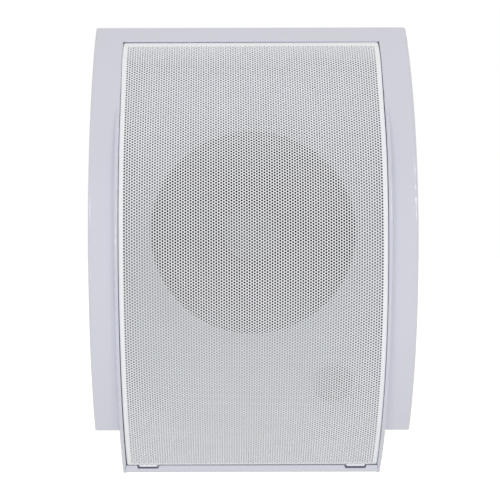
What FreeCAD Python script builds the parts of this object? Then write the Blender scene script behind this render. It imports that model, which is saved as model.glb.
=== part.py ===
"""A wall speaker with a bowed front: a moulded cabinet, a steel grille, one driver and a rear terminal.

Millimetres and degrees. The wall is the plane y = 0 and the front faces -Y, with +X to the right of someone
who looks at the front and +Z up. The origin is the middle of the rear face.
"""

import FreeCAD
import Part
import math
import os

# Cabinet
overall_width = 224.0
overall_height = 324.0
overall_depth = 108.0
wall = 2.8

# The hood: two side wings and the band above the grille, on one cylinder that lies across the cabinet
hood_height = 289.0
hood_radius = 220.0
hood_setback = 3.0
hood_side_round = 2.4
hood_top_round = 1.0
hood_foot_round = 0.8
top_band = 12.0
opening_round = 0.8

# The pod: what stands out of the hood, carries the grille and runs down below the wings
pod_width = 188.6
rim_width = 2.85
rim_outer_round = 1.5
rim_inner_round = 0.9
bow_foot_depth = 29.2
bow_rise = 9.0
crown_end_depth = 41.7
crown_start = 42.0
recess_depth = 10.0
bottom_floor = 5.0

# The lip under the grille, with a notch on each side for a tongue of the grille
lip_height = 6.5
lip_lift = 1.2
lip_sink = 0.2
lip_thickness = 11.3
lip_round = 2.2
lip_top_round = 0.4
notch_width = 17.5
notch_narrowing = 1.5
notch_height = 2.4
notch_depth = 6.0
notch_spacing = 151.0

# Grille: a bent steel tray, drawn here with a coarse pattern of the same stagger as the fine one
grille_sheet = 0.8
grille_sink = 0.8
grille_gap = 0.25
grille_top_gap = 0.3
grille_return = 5.2
tongue_width = 13.2
tongue_drop = 1.3
grille_seat_gap = 0.1
grille_ledge = 3.0
perforation_pitch = 25.0
perforation_hole = 12.5
perforation_margin = 4.5

# Driver: a rear-mounted cone loudspeaker
driver_height = 13.4
driver_opening = 140.0
baffle_setback = 36.0
seat_ring_width = 14.0
seat_ring_thickness = 5.0
frame_diameter = 164.0
frame_inner_diameter = 142.0
frame_sheet = 1.2
driver_screw_circle = 154.0
driver_screw_count = 4
driver_screw_radius = 1.6
driver_screw_length = 7.0
driver_screw_head_radius = 3.4
driver_screw_head_height = 2.0
gasket_thickness = 1.5
surround_sheet = 0.5
roll_middle_radius = 65.0
roll_radius = 4.7
surround_drop = 5.2
cone_edge_land = 4.3
cone_sheet = 0.7
neck_room = 9.0
coil_radius = 12.7
former_sheet = 0.25
former_rise = 10.5
former_reach = 6.5
winding_thickness = 0.55
winding_length = 8.0
dust_cap_radius = 20.0
dust_cap_rise = 7.0
dust_cap_sheet = 0.5
spider_rise = 10.5
spider_cup = 5.0
spider_sheet = 0.5
spider_wave = 1.2
spider_wave_count = 5
spider_collar = 1.1
spider_land = 5.0
pot_radius = 42.2
basket_step = 2.25
driver_room = 13.0
basket_hole_radius = 18.0
window_count = 6
window_inner_radius = 45.0
window_outer_radius = 68.0
window_inner_width = 30.0
window_outer_width = 52.0
plate_radius = 40.0
plate_thickness = 5.0
air_gap = 0.45
magnet_radius = 44.0
magnet_hole_radius = 19.0
magnet_thickness = 10.0
yoke_radius = 41.0
yoke_thickness = 4.0
pole_gap = 0.5

# Connections at the driver
strip_width = 22.0
strip_length = 5.0
strip_thickness = 1.5
tag_spacing = 14.0
tag_width = 2.5
tag_sheet = 0.6
tag_length = 8.0
tag_eye = 6.0
tinsel_radius = 0.5
tinsel_lean = 0.2
lead_radius = 1.0

# Port: a tube moulded into the front
port_side = 56.5
port_height = -92.0
port_radius = 14.0
port_wall = 2.5
port_length = 45.0

# Rear cover
cover_thickness = 3.0
cover_gap = 0.3
cover_rib_height = 4.0
cover_rib_thickness = 2.0
cover_rib_spacing = 96.0
cover_rib_low = -58.0
cover_rib_high = 88.0
boss_radius = 3.6
boss_edge = 9.0
boss_foot_edge = 16.3
boss_end_gap = 15.0
cover_screw_radius = 1.5
cover_screw_length = 13.0
cover_screw_head_radius = 3.0
screw_sink = 0.3
screw_clearance = 0.05
pass_clearance = 0.3
keyhole_spacing = 140.0
keyhole_height = 104.0
keyhole_entry_radius = 4.25
keyhole_slot_radius = 2.25
keyhole_rise = 10.0

# Terminal: a cup in the rear cover with two sprung levers
terminal_height = -95.0
cup_width = 56.0
cup_height = 34.0
cup_depth = 24.0
cup_wall = 1.5
cup_gap = 0.3
cup_flange = 6.0
cup_flange_thickness = 1.4
cup_screw_radius = 1.2
cup_screw_head_radius = 2.2
cup_screw_length = 8.0
cup_boss_radius = 2.6
cup_boss_length = 8.5
lever_spacing = 26.0
lever_width = 15.0
lever_thickness = 3.0
lever_reach = 17.0
lever_heel = 2.2
lever_pad = 4.0
lever_pad_height = 1.0
lever_corner = 1.5
groove_count = 3
groove_width = 0.7
groove_depth = 0.5
lever_angle = 35.0
lever_side_gap = 0.3
pivot_radius = 1.5
pivot_clearance = 0.05
pivot_level = 4.0
pivot_rise = 9.5
ear_thickness = 1.5
ear_reach = 3.0
wire_hole_radius = 2.0
wire_hole_drop = 12.0
spring_sheet = 0.5
spring_width = 6.0
spring_foot = 9.5
spring_foot_drop = 7.5
spring_contact = 11.0
spring_gap = 0.2
tail_width = 4.0
tail_length = 10.0
tail_gap = 0.1

# Room past a face for the tools that cut it
over = 1.0
tolerance = 0.01
clear_front = 60.0

top_z = overall_height / 2
bottom_z = -overall_height / 2
hood_foot_z = top_z - hood_height
opening_top_z = top_z - top_band
lip_top_z = bottom_z + lip_height
lip_foot_z = bottom_z + lip_lift
front_y = -overall_depth - clear_front
pocket_half = pod_width / 2 - rim_width
bow_drop = bow_rise - bottom_z
bow_sweep = overall_depth - bow_foot_depth
bow_radius = (bow_drop ** 2 + bow_sweep ** 2) / (2 * bow_sweep)
bow_y0 = bow_radius - overall_depth
crown_turn = math.asin(crown_start / bow_radius)
crown_sweep = bow_radius * math.cos(crown_turn) - bow_y0 - crown_end_depth
crown_climb = opening_top_z - bow_rise - crown_start
crown_inward = crown_sweep * math.cos(crown_turn) - crown_climb * math.sin(crown_turn)
crown_radius = (crown_sweep ** 2 + crown_climb ** 2) / (2 * crown_inward)
crown_y0 = bow_y0 - (bow_radius - crown_radius) * math.cos(crown_turn)
crown_z0 = bow_rise + (bow_radius - crown_radius) * math.sin(crown_turn)
hood_y0 = hood_radius - overall_depth + hood_setback
driver_seat = overall_depth - baffle_setback
seat_y = -driver_seat
pot_level = driver_seat - driver_room - yoke_thickness - magnet_thickness - plate_thickness
former_top = pot_level - former_rise
former_bottom = pot_level + former_reach
spider_level = pot_level - spider_rise


def point(x, y, z):
    """A point in the shared frame."""
    return FreeCAD.Vector(x, y, z)


def box(x0, x1, y0, y1, z0, z1):
    """A block between two corners."""
    return Part.makeBox(x1 - x0, y1 - y0, z1 - z0, point(x0, y0, z0))


def rod(radius, x, z, y0, y1):
    """A cylinder along Y."""
    return Part.makeCylinder(radius, y1 - y0, point(x, y0, z), point(0, 1, 0))


def join_all(shapes):
    """One solid from shapes that meet."""
    first = shapes[0]
    return first.fuse(shapes[1:]).removeSplitter()


def bow_y(offset, z):
    """Where the pod's front line stands at a height, moved inward by an offset."""
    if z <= bow_rise + (bow_radius - offset) * math.sin(crown_turn):
        return bow_y0 - math.sqrt((bow_radius - offset) ** 2 - (z - bow_rise) ** 2)
    return crown_y0 - math.sqrt((crown_radius - offset) ** 2 - (z - crown_z0) ** 2)


def hood_y(offset, z):
    """Where the hood's front line stands at a height, moved inward by an offset."""
    return hood_y0 - math.sqrt((hood_radius - offset) ** 2 - (z - bow_rise) ** 2)


def lip_y(offset, z):
    """The lip's upright face, which starts where the bow meets the lip's top."""
    return bow_y(lip_sink, lip_top_z) + offset


def arc_edge(line, offset, x, z0, z1):
    """The part of a front line between two heights that lie on the same arc."""
    heights = (z0, (z0 + z1) / 2, z1)
    return Part.Arc(*[point(x, line(offset, z), z) for z in heights]).toShape()


def block(line, offset, half_width, z0, z1, y_end):
    """What lies between a front line and a plane of constant y, between two heights."""
    turn_z = bow_rise + (bow_radius - offset) * math.sin(crown_turn)
    stops = [z0, z1]
    if line is bow_y and z0 < turn_z < z1:
        stops = [z0, turn_z, z1]
    edges = [arc_edge(line, offset, -half_width, a, b) for a, b in zip(stops, stops[1:])]
    corners = [
        point(-half_width, line(offset, z1), z1),
        point(-half_width, y_end, z1),
        point(-half_width, y_end, z0),
        point(-half_width, line(offset, z0), z0),
    ]
    edges += [Part.makeLine(a, b) for a, b in zip(corners, corners[1:])]
    return Part.Face(Part.Wire(edges)).extrude(point(2 * half_width, 0, 0))


def arcs_at(shape, half_width):
    """The curved edges of a shape that lie on either of two side planes."""
    curved = [e for e in shape.Edges if e.Curve.TypeId == "Part::GeomCircle"]
    return [e for e in curved if all(abs(abs(v.X) - half_width) < tolerance for v in e.Vertexes)]


def levels_at(shape, z, line):
    """The straight edges of a shape at a height on a front line."""
    straight = [e for e in shape.Edges if e.Curve.TypeId == "Part::GeomLine"]
    y = line(0, z)
    return [e for e in straight if all(abs(v.Z - z) < tolerance and abs(v.Y - y) < tolerance for v in e.Vertexes)]


def turned(corners):
    """A ring about the driver's axis from corners of radius and distance behind the seat."""
    points = [point(r, seat_y + t, driver_height) for r, t in corners]
    face = Part.Face(Part.makePolygon(points + points[:1]))
    return face.revolve(point(0, 0, driver_height), point(0, 1, 0), 360)


def turned_edges(edges):
    """A ring about the driver's axis from edges that close."""
    face = Part.Face(Part.Wire(edges))
    return face.revolve(point(0, 0, driver_height), point(0, 1, 0), 360)


def driver_point(radius, distance):
    """A point of a driver's section."""
    return point(radius, seat_y + distance, driver_height)


def on_circle(diameter, count, start):
    """Places around the driver's axis."""
    turns = [math.radians(start + 360 * i / count) for i in range(count)]
    return [(diameter / 2 * math.cos(a), driver_height + diameter / 2 * math.sin(a)) for a in turns]


def sunk_screw(x, z, head_radius, radius, length, sink):
    """A countersunk screw driven in from the rear."""
    head = head_radius - radius
    cone = Part.makeCone(radius, head_radius, head, point(x, -sink - head, z), point(0, 1, 0))
    return cone.fuse(rod(radius, x, z, -sink - length, -sink - head)).removeSplitter()


def sunk_hole(x, z, head_radius, radius, depth, sink):
    """The hole for a countersunk screw, open at the rear."""
    head = head_radius - radius
    cone = Part.makeCone(radius, head_radius, head, point(x, -sink - head, z), point(0, 1, 0))
    return cone.fuse([rod(head_radius, x, z, -sink, over), rod(radius, x, z, -depth, -sink)])


def tube(path, radius):
    """A round cord along an edge."""
    start = path.valueAt(path.FirstParameter)
    along = path.tangentAt(path.FirstParameter)
    ring = Part.Wire(Part.makeCircle(radius, start, along))
    return Part.Wire(path).makePipeShell([ring], True, False)


def write(name, shape):
    """Save one piece."""
    shape.exportStep("parts/" + name + ".step")


os.makedirs("parts", exist_ok=True)

# Front housing: hood, pod, the recess for the grille and the space inside
hood = block(hood_y, 0, overall_width / 2, hood_foot_z, top_z, 0)
hood = hood.makeFillet(hood_side_round, arcs_at(hood, overall_width / 2))
hood = hood.makeFillet(hood_top_round, levels_at(hood, top_z, hood_y))
hood = hood.makeFillet(hood_foot_round, levels_at(hood, hood_foot_z, hood_y))
hood = hood.cut(box(-pocket_half, pocket_half, front_y, over, hood_foot_z - over, opening_top_z))
opening_edges = arcs_at(hood, pocket_half) + levels_at(hood, opening_top_z, hood_y)
hood = hood.makeFillet(opening_round, opening_edges)

pod = block(bow_y, 0, pod_width / 2, bottom_z, opening_top_z + wall, 0)
pod = pod.makeFillet(rim_outer_round, arcs_at(pod, pod_width / 2))
ledge_depth = grille_sink + grille_return + grille_seat_gap
deep_half = pocket_half - grille_ledge
shallow = block(bow_y, ledge_depth, pocket_half, lip_top_z, opening_top_z, front_y)
deep = block(bow_y, recess_depth, deep_half, lip_top_z, opening_top_z, front_y)
lip_face = lip_y(0, lip_top_z)
lip_root = lip_face + lip_thickness
below = box(-pocket_half, pocket_half, front_y, lip_root, bottom_z - over, lip_top_z + over)
pod = pod.cut([shallow, deep, below])
crest = [e for e in arcs_at(pod, pocket_half) if all(abs(v.Y - bow_y(0, v.Z)) < tolerance for v in e.Vertexes)]
pod = pod.makeFillet(rim_inner_round, crest)
lip = box(-pocket_half, pocket_half, lip_face, lip_root, lip_foot_z, lip_top_z)
lip = lip.makeFillet(lip_round, levels_at(lip, lip_foot_z, lip_y))
lip = lip.makeFillet(lip_top_round, levels_at(lip, lip_top_z, lip_y))

inside = block(hood_y, wall, overall_width / 2 - wall, hood_foot_z + wall, top_z - wall, over)
core_half = pod_width / 2 + wall
core = block(bow_y, recess_depth + wall, core_half, bottom_z - over, opening_top_z + wall, front_y)
foot = block(bow_y, recess_depth + wall, pocket_half, bottom_z + bottom_floor, hood_foot_z + 2 * wall, over)
cavity = inside.cut(core).fuse(foot)
housing = hood.fuse(pod).cut([shallow, deep, below]).cut(cavity).fuse(lip)

ring_y = seat_y - seat_ring_thickness
opening_radius = driver_opening / 2
well = rod(opening_radius + wall, 0, driver_height, -overall_depth, seat_y)
seat_ring = rod(opening_radius + seat_ring_width, 0, driver_height, ring_y, seat_y)
port_mouth_y = bow_y(recess_depth, port_height)
port_tube = rod(port_radius + port_wall, port_side, port_height, -overall_depth, port_mouth_y + port_length)
behind = block(bow_y, recess_depth + wall / 2, pod_width / 2, bottom_z + wall, opening_top_z, 0)
added = [s.common(behind) for s in (well.fuse(seat_ring), port_tube)]

boss_side = overall_width / 2 - boss_edge
boss_low = hood_foot_z + boss_end_gap
boss_high = top_z - boss_end_gap
boss_foot = bottom_z + boss_end_gap
boss_foot_side = pod_width / 2 - boss_foot_edge
boss_places = [(side * boss_side, z) for side in (-1, 1) for z in (boss_low, boss_high)]
foot_places = [(side * boss_foot_side, boss_foot) for side in (-1, 1)]
under_hood = block(hood_y, wall / 2, overall_width / 2, hood_foot_z, top_z, -cover_thickness)
under_pod = block(bow_y, recess_depth + wall / 2, pod_width / 2, bottom_z, hood_foot_z, -cover_thickness)
added += [rod(boss_radius, x, z, -overall_depth, 0).common(under_hood) for x, z in boss_places]
added += [rod(boss_radius, x, z, -overall_depth, 0).common(under_pod) for x, z in foot_places]
housing = housing.fuse(added)

pilot_radius = cover_screw_radius + screw_clearance
holes = [rod(pilot_radius, x, z, -cover_screw_length - over, 0) for x, z in boss_places + foot_places]
driver_screws_at = on_circle(driver_screw_circle, driver_screw_count, 45)
frame_rear = gasket_thickness + surround_sheet + frame_sheet
grip = driver_screw_length - frame_rear
driver_pilot = driver_screw_radius + screw_clearance
pilot_end = seat_y - grip - screw_clearance
holes += [rod(driver_pilot, x, z, pilot_end, seat_y + over) for x, z in driver_screws_at]
holes.append(rod(opening_radius, 0, driver_height, front_y, seat_y + over))
holes.append(rod(port_radius, port_side, port_height, front_y, 0))
for side in (-1, 1):
    half = notch_width / 2
    middle = side * notch_spacing / 2
    corners = [
        point(middle - half, lip_face - over, lip_top_z + over),
        point(middle + half, lip_face - over, lip_top_z + over),
        point(middle + half - notch_narrowing, lip_face - over, lip_top_z - notch_height),
        point(middle - half + notch_narrowing, lip_face - over, lip_top_z - notch_height),
    ]
    face = Part.Face(Part.makePolygon(corners + corners[:1]))
    holes.append(face.extrude(point(0, notch_depth + over, 0)))
housing = housing.cut(holes).removeSplitter()
write("front_housing", housing)

# Grille
grille_half = pocket_half - grille_gap
grille_low = lip_top_z + grille_gap
grille_high = opening_top_z - grille_top_gap
grille_rear = grille_sink + grille_return
tray = block(bow_y, grille_sink, grille_half, grille_low, grille_high, 0)
tray = tray.cut(block(bow_y, grille_rear, grille_half + over, grille_low - over, grille_high + over, over))
sheet_rear = grille_sink + grille_sheet
tray = tray.cut(block(
    bow_y,
    sheet_rear,
    grille_half - grille_sheet,
    grille_low + grille_sheet,
    grille_high - grille_sheet,
    over,
))
column_step = perforation_pitch * math.sqrt(3) / 2
column_reach = int((grille_half - perforation_margin - perforation_hole / 2) / column_step)
lowest = (bow_radius - grille_sink) * math.asin((grille_low - bow_rise) / (bow_radius - grille_sink))
turn_at = (bow_radius - grille_sink) * crown_turn
crown_rise = math.asin((grille_high - crown_z0) / (crown_radius - grille_sink)) - crown_turn
highest = turn_at + (crown_radius - grille_sink) * crown_rise
edge_margin = perforation_margin + perforation_hole / 2
row_count = int((highest - lowest - 2 * edge_margin) / perforation_pitch - 0.5) + 1
row_start = (lowest + highest - (row_count - 0.5) * perforation_pitch) / 2
punches = []
for column in range(-column_reach, column_reach + 1):
    shift = perforation_pitch / 2 * (column % 2)
    for row in range(row_count):
        along = row_start + row * perforation_pitch + shift
        angle = along / (bow_radius - grille_sink)
        middle_y = bow_y0
        middle_z = bow_rise
        reach = bow_radius - 2 * grille_return
        if along > turn_at:
            angle = crown_turn + (along - turn_at) / (crown_radius - grille_sink)
            middle_y = crown_y0
            middle_z = crown_z0
            reach = crown_radius - 2 * grille_return
        outward = point(0, -math.cos(angle), math.sin(angle))
        start = point(column * column_step, middle_y, middle_z) + outward * reach
        punches.append(Part.makeCylinder(perforation_hole / 2, 3 * grille_return, start, outward))
tongue_front = bow_y(grille_sink, grille_low)
tongue_top = grille_low + grille_sheet / 2
tongues = [
    box(
        middle - tongue_width / 2,
        middle + tongue_width / 2,
        tongue_front,
        tongue_front + grille_sheet,
        grille_low - tongue_drop,
        tongue_top,
    )
    for middle in (-notch_spacing / 2, notch_spacing / 2)
]
grille = tray.cut(punches).fuse(tongues)
write("grille", grille)

# Rear cover
wide_half = overall_width / 2 - wall - cover_gap
narrow_half = pocket_half - cover_gap
cover_foot = bottom_z + bottom_floor + cover_gap
cover = join_all([
    box(-wide_half, wide_half, -cover_thickness, 0, hood_foot_z + wall + cover_gap, top_z - wall - cover_gap),
    box(-narrow_half, narrow_half, -cover_thickness, 0, cover_foot, hood_foot_z + 2 * wall),
])
rib_y = -cover_thickness - cover_rib_height
rib_half = cover_rib_thickness / 2
ribs = [
    box(x - rib_half, x + rib_half, rib_y, -cover_thickness, cover_rib_low, cover_rib_high)
    for x in (-cover_rib_spacing / 2, cover_rib_spacing / 2)
]
ribs += [
    box(-cover_rib_spacing / 2, cover_rib_spacing / 2, rib_y, -cover_thickness, z - rib_half, z + rib_half)
    for z in (cover_rib_low + rib_half, cover_rib_high - rib_half)
]
cup_half = cup_width / 2
cup_rise = cup_height / 2
flange_half = cup_half + cup_flange
flange_rise = cup_rise + cup_flange / 2
cup_screw_side = cup_half + cup_flange / 2
cup_bosses = [
    rod(
        cup_boss_radius,
        side * cup_screw_side,
        terminal_height,
        -cup_boss_length - cover_thickness,
        -cover_thickness,
    )
    for side in (-1, 1)
]
cover = join_all([cover] + ribs + cup_bosses)
flange_seat = cup_flange_thickness + screw_sink
cover_cuts = [
    box(
        -flange_half - cup_gap,
        flange_half + cup_gap,
        -flange_seat,
        over,
        terminal_height - flange_rise - cup_gap,
        terminal_height + flange_rise + cup_gap,
    ),
    box(
        -cup_half - cup_gap,
        cup_half + cup_gap,
        -cup_depth,
        over,
        terminal_height - cup_rise - cup_gap,
        terminal_height + cup_rise + cup_gap,
    ),
]
cup_pilot = cup_screw_radius + screw_clearance
cover_cuts += [
    rod(cup_pilot, side * cup_screw_side, terminal_height, -cup_screw_length - over, 0) for side in (-1, 1)
]
pass_radius = cover_screw_radius + pass_clearance
pass_head = cover_screw_head_radius + pass_clearance
cover_cuts += [
    sunk_hole(x, z, pass_head, pass_radius, cover_thickness + over, screw_sink)
    for x, z in boss_places + foot_places
]
for side in (-1, 1):
    x = side * keyhole_spacing / 2
    slot_z = keyhole_height + keyhole_rise
    cover_cuts.append(rod(keyhole_entry_radius, x, keyhole_height, -cover_thickness - over, over))
    cover_cuts.append(rod(keyhole_slot_radius, x, slot_z, -cover_thickness - over, over))
    cover_cuts.append(box(
        x - keyhole_slot_radius,
        x + keyhole_slot_radius,
        -cover_thickness - over,
        over,
        keyhole_height,
        slot_z,
    ))
cover = cover.cut(cover_cuts)
write("rear_cover", cover)
screws = [
    sunk_screw(x, z, cover_screw_head_radius, cover_screw_radius, cover_screw_length, screw_sink)
    for x, z in boss_places + foot_places
]
write("cover_screws", Part.makeCompound(screws))

# Driver: gasket, surround and basket, with the screws that go through them
frame_radius = frame_diameter / 2
frame_inner = frame_inner_diameter / 2
lip_front = gasket_thickness
lip_rear = gasket_thickness + surround_sheet
screw_way = [
    rod(driver_screw_radius + pass_clearance, x, z, seat_y - over, seat_y + frame_rear + over)
    for x, z in driver_screws_at
]
gasket = turned([(frame_inner, 0), (frame_radius, 0), (frame_radius, lip_front), (frame_inner, lip_front)])
write("driver_gasket", gasket.cut(screw_way))

roll_inner = roll_radius - surround_sheet
roll_left = roll_middle_radius - roll_radius
roll_right = roll_middle_radius + roll_radius
land_level = lip_front + surround_drop
land_inner = roll_left - cone_edge_land
front_points = [
    driver_point(frame_radius, lip_front),
    driver_point(roll_right, lip_front),
    driver_point(roll_middle_radius, lip_front - roll_radius),
    driver_point(roll_left, lip_front),
    driver_point(roll_left, land_level),
    driver_point(land_inner, land_level),
]
rear_points = [
    driver_point(land_inner, land_level + surround_sheet),
    driver_point(roll_left + surround_sheet, land_level + surround_sheet),
    driver_point(roll_left + surround_sheet, lip_front),
    driver_point(roll_middle_radius, lip_front - roll_inner),
    driver_point(roll_right - surround_sheet, lip_front),
    driver_point(roll_right - surround_sheet, lip_rear),
    driver_point(frame_radius, lip_rear),
]
surround_edges = [
    Part.makeLine(front_points[0], front_points[1]),
    Part.Arc(front_points[1], front_points[2], front_points[3]).toShape(),
    Part.makeLine(front_points[3], front_points[4]),
    Part.makeLine(front_points[4], front_points[5]),
    Part.makeLine(front_points[5], rear_points[0]),
    Part.makeLine(rear_points[0], rear_points[1]),
    Part.makeLine(rear_points[1], rear_points[2]),
    Part.Arc(rear_points[2], rear_points[3], rear_points[4]).toShape(),
    Part.makeLine(rear_points[4], rear_points[5]),
    Part.makeLine(rear_points[5], rear_points[6]),
    Part.makeLine(rear_points[6], front_points[0]),
]
write("surround", turned_edges(surround_edges).cut(screw_way))

shelf_front = spider_level + spider_sheet / 2
shelf_rear = shelf_front + frame_sheet
shelf_inner = pot_radius - frame_sheet - spider_land - frame_sheet
basket_foot = pot_radius + basket_step
basket_fall = (shelf_front - frame_rear) / (frame_inner - basket_foot)
slant = frame_sheet * math.sqrt(1 + 1 / basket_fall ** 2)
basket = turned([
    (frame_inner, lip_rear),
    (frame_radius, lip_rear),
    (frame_radius, frame_rear),
    (frame_inner + slant, frame_rear),
    (pot_radius, frame_rear + basket_fall * (frame_inner + slant - pot_radius)),
    (pot_radius, pot_level),
    (basket_hole_radius, pot_level),
    (basket_hole_radius, pot_level - frame_sheet),
    (pot_radius - frame_sheet, pot_level - frame_sheet),
    (pot_radius - frame_sheet, shelf_rear),
    (shelf_inner, shelf_rear),
    (shelf_inner, shelf_front),
    (basket_foot, shelf_front),
    (frame_inner, frame_rear),
])
window_corners = [
    point(window_inner_radius, seat_y + frame_rear, driver_height - window_inner_width / 2),
    point(window_outer_radius, seat_y + frame_rear, driver_height - window_outer_width / 2),
    point(window_outer_radius, seat_y + frame_rear, driver_height + window_outer_width / 2),
    point(window_inner_radius, seat_y + frame_rear, driver_height + window_inner_width / 2),
]
window = Part.Face(Part.makePolygon(window_corners + window_corners[:1]))
window = window.extrude(point(0, shelf_front - frame_rear, 0))
windows = []
for i in range(window_count):
    copy = window.copy()
    copy.rotate(point(0, 0, driver_height), point(0, 1, 0), 90 + 360 * i / window_count)
    windows.append(copy)
basket = basket.cut(windows + screw_way)
write("basket", basket)

screws = []
for x, z in driver_screws_at:
    rear = seat_y + frame_rear
    shank = rod(driver_screw_radius, x, z, seat_y - grip, rear)
    head = rod(driver_screw_head_radius, x, z, rear, rear + driver_screw_head_height)
    screws.append(shank.fuse(head).removeSplitter())
write("driver_screws", Part.makeCompound(screws))

# Driver: cone, cap, coil and spider
former_outer = coil_radius + former_sheet
cone_top = land_level + surround_sheet
cone_depth = pot_level - neck_room - cone_top
cone_rise = cone_depth / (land_inner - former_outer)
cone_back = cone_sheet * math.sqrt(1 + cone_rise ** 2)
neck = cone_top + cone_depth
cone = turned([
    (roll_left, cone_top),
    (land_inner, cone_top),
    (former_outer, neck),
    (former_outer, neck + cone_back),
    (land_inner + (cone_sheet - cone_back) / cone_rise, cone_top + cone_sheet),
    (roll_left, cone_top + cone_sheet),
])
write("cone", cone)

cap_seat = cone_top + (land_inner - dust_cap_radius) * cone_rise - screw_clearance
cap_crown = cap_seat - dust_cap_rise
cap_radius = (dust_cap_radius ** 2 + dust_cap_rise ** 2) / (2 * dust_cap_rise)
cap_middle = driver_point(0, cap_crown + cap_radius)
cap = Part.makeSphere(cap_radius, cap_middle)
cap = cap.cut(Part.makeSphere(cap_radius - dust_cap_sheet, cap_middle))
cap = cap.common(rod(cap_radius, 0, driver_height, seat_y + cap_crown - over, seat_y + cap_seat))
write("dust_cap", cap)

write("voice_coil_former", turned([
    (coil_radius, former_top),
    (former_outer, former_top),
    (former_outer, former_bottom),
    (coil_radius, former_bottom),
]))
winding_outer = former_outer + winding_thickness
write("voice_coil_winding", turned([
    (former_outer, former_bottom - winding_length),
    (winding_outer, former_bottom - winding_length),
    (winding_outer, former_bottom),
    (former_outer, former_bottom),
]))

collar_outer = former_outer + spider_collar
wave_step = (shelf_inner - collar_outer) / (2 * spider_wave_count)
collar_level = spider_level + spider_cup
crests = [(collar_outer, collar_level)]
for i in range(1, 2 * spider_wave_count):
    swing = spider_wave if i % 2 else -spider_wave
    level = collar_level - spider_cup * i / (2 * spider_wave_count)
    crests.append((collar_outer + i * wave_step, level + swing))
crests.append((shelf_inner, spider_level))
half_sheet = spider_sheet / 2
spider_outer = basket_foot - pass_clearance
upper = [(former_outer, collar_level - half_sheet)]
upper += [(r, t - half_sheet) for r, t in crests]
upper += [(spider_outer, spider_level - half_sheet)]
lower = [(r, t + spider_sheet) for r, t in upper]
write("spider", turned(upper + lower[::-1]))

# Driver: magnet system
plate_rear = pot_level + plate_thickness
plate_inner = winding_outer + air_gap
write("top_plate", turned([
    (plate_inner, pot_level),
    (plate_radius, pot_level),
    (plate_radius, plate_rear),
    (plate_inner, plate_rear),
]))
magnet_rear = plate_rear + magnet_thickness
write("ring_magnet", turned([
    (magnet_hole_radius, plate_rear),
    (magnet_radius, plate_rear),
    (magnet_radius, magnet_rear),
    (magnet_hole_radius, magnet_rear),
]))
pole_radius = coil_radius - pole_gap
write("yoke", turned([
    (0, pot_level),
    (pole_radius, pot_level),
    (pole_radius, magnet_rear),
    (yoke_radius, magnet_rear),
    (yoke_radius, magnet_rear + yoke_thickness),
    (0, magnet_rear + yoke_thickness),
]))

# Driver: tag strip, tags, and the tinsel leads that flex with the cone
strip_top = driver_height - pot_radius
strip_front = seat_y + pot_level - strip_length
strip = box(
    -strip_width / 2,
    strip_width / 2,
    strip_front,
    strip_front + strip_length,
    strip_top - strip_thickness,
    strip_top,
)
write("tag_strip", strip)
tag_middle = strip_front + strip_length / 2
tag_top = strip_top - strip_thickness
tags = [
    box(
        x - tag_width / 2,
        x + tag_width / 2,
        tag_middle - tag_sheet / 2,
        tag_middle + tag_sheet / 2,
        tag_top - tag_length,
        tag_top,
    )
    for x in (-tag_spacing / 2, tag_spacing / 2)
]
write("solder_tags", Part.makeCompound(tags))
tinsel = []
for x in (-tag_spacing / 2, tag_spacing / 2):
    eye_radius = (window_inner_radius + coil_radius) / 2
    eye_drop = math.sqrt(eye_radius ** 2 - x ** 2)
    eye_level = cone_top + (land_inner - eye_radius) * cone_rise + cone_back
    eye_level += 2 * tinsel_radius + pass_clearance
    start = point(x, tag_middle - tag_sheet / 2 - tinsel_radius - screw_clearance, tag_top - tag_eye)
    end = point(x, seat_y + eye_level, driver_height - eye_drop)
    shelf_z = driver_height - window_inner_radius
    through = point(x, end.y - tinsel_lean * cone_rise * (end.z - shelf_z), shelf_z)
    path = Part.BSplineCurve()
    path.interpolate([start, through, end])
    tinsel.append(tube(path.toShape(), tinsel_radius))
write("tinsel_leads", Part.makeCompound(tinsel))

# Terminal cup with ears for the levers
cup_floor = -flange_seat - cup_depth + cup_wall
cup = join_all([
    box(
        -flange_half,
        flange_half,
        -flange_seat,
        -screw_sink,
        terminal_height - flange_rise,
        terminal_height + flange_rise,
    ),
    box(
        -cup_half,
        cup_half,
        cup_floor - cup_wall,
        -screw_sink,
        terminal_height - cup_rise,
        terminal_height + cup_rise,
    ),
])
cup = cup.cut(box(
    -cup_half + cup_wall,
    cup_half - cup_wall,
    cup_floor,
    over,
    terminal_height - cup_rise + cup_wall,
    terminal_height + cup_rise - cup_wall,
))
pivot_y = cup_floor + pivot_level
pivot_z = terminal_height + pivot_rise
ear_inner = lever_width / 2 + lever_side_gap
ear_outer = ear_inner + ear_thickness
ears = []
cup_cuts = []
for middle in (-lever_spacing / 2, lever_spacing / 2):
    for low, high in ((-ear_outer, -ear_inner), (ear_inner, ear_outer)):
        ears.append(box(
            middle + low,
            middle + high,
            cup_floor - cup_wall,
            pivot_y + ear_reach,
            pivot_z - ear_reach,
            pivot_z + ear_reach,
        ))
    cup_cuts.append(Part.makeCylinder(
        pivot_radius + pivot_clearance,
        2 * ear_outer + 2 * over,
        point(middle - ear_outer - over, pivot_y, pivot_z),
        point(1, 0, 0),
    ))
    cup_cuts.append(rod(
        wire_hole_radius,
        middle,
        terminal_height - wire_hole_drop,
        cup_floor - cup_wall - over,
        cup_floor + over,
    ))
    cup_cuts.append(box(
        middle - tail_width / 2 - tail_gap,
        middle + tail_width / 2 + tail_gap,
        cup_floor - cup_wall - over,
        cup_floor + over,
        terminal_height - spring_foot_drop + spring_foot - spring_sheet - tail_gap,
        terminal_height - spring_foot_drop + spring_foot + tail_gap,
    ))
cup_cuts += [
    sunk_hole(
        side * cup_screw_side,
        terminal_height,
        cup_screw_head_radius + tail_gap,
        cup_screw_radius + tail_gap,
        flange_seat + over,
        2 * screw_sink,
    )
    for side in (-1, 1)
]
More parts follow.
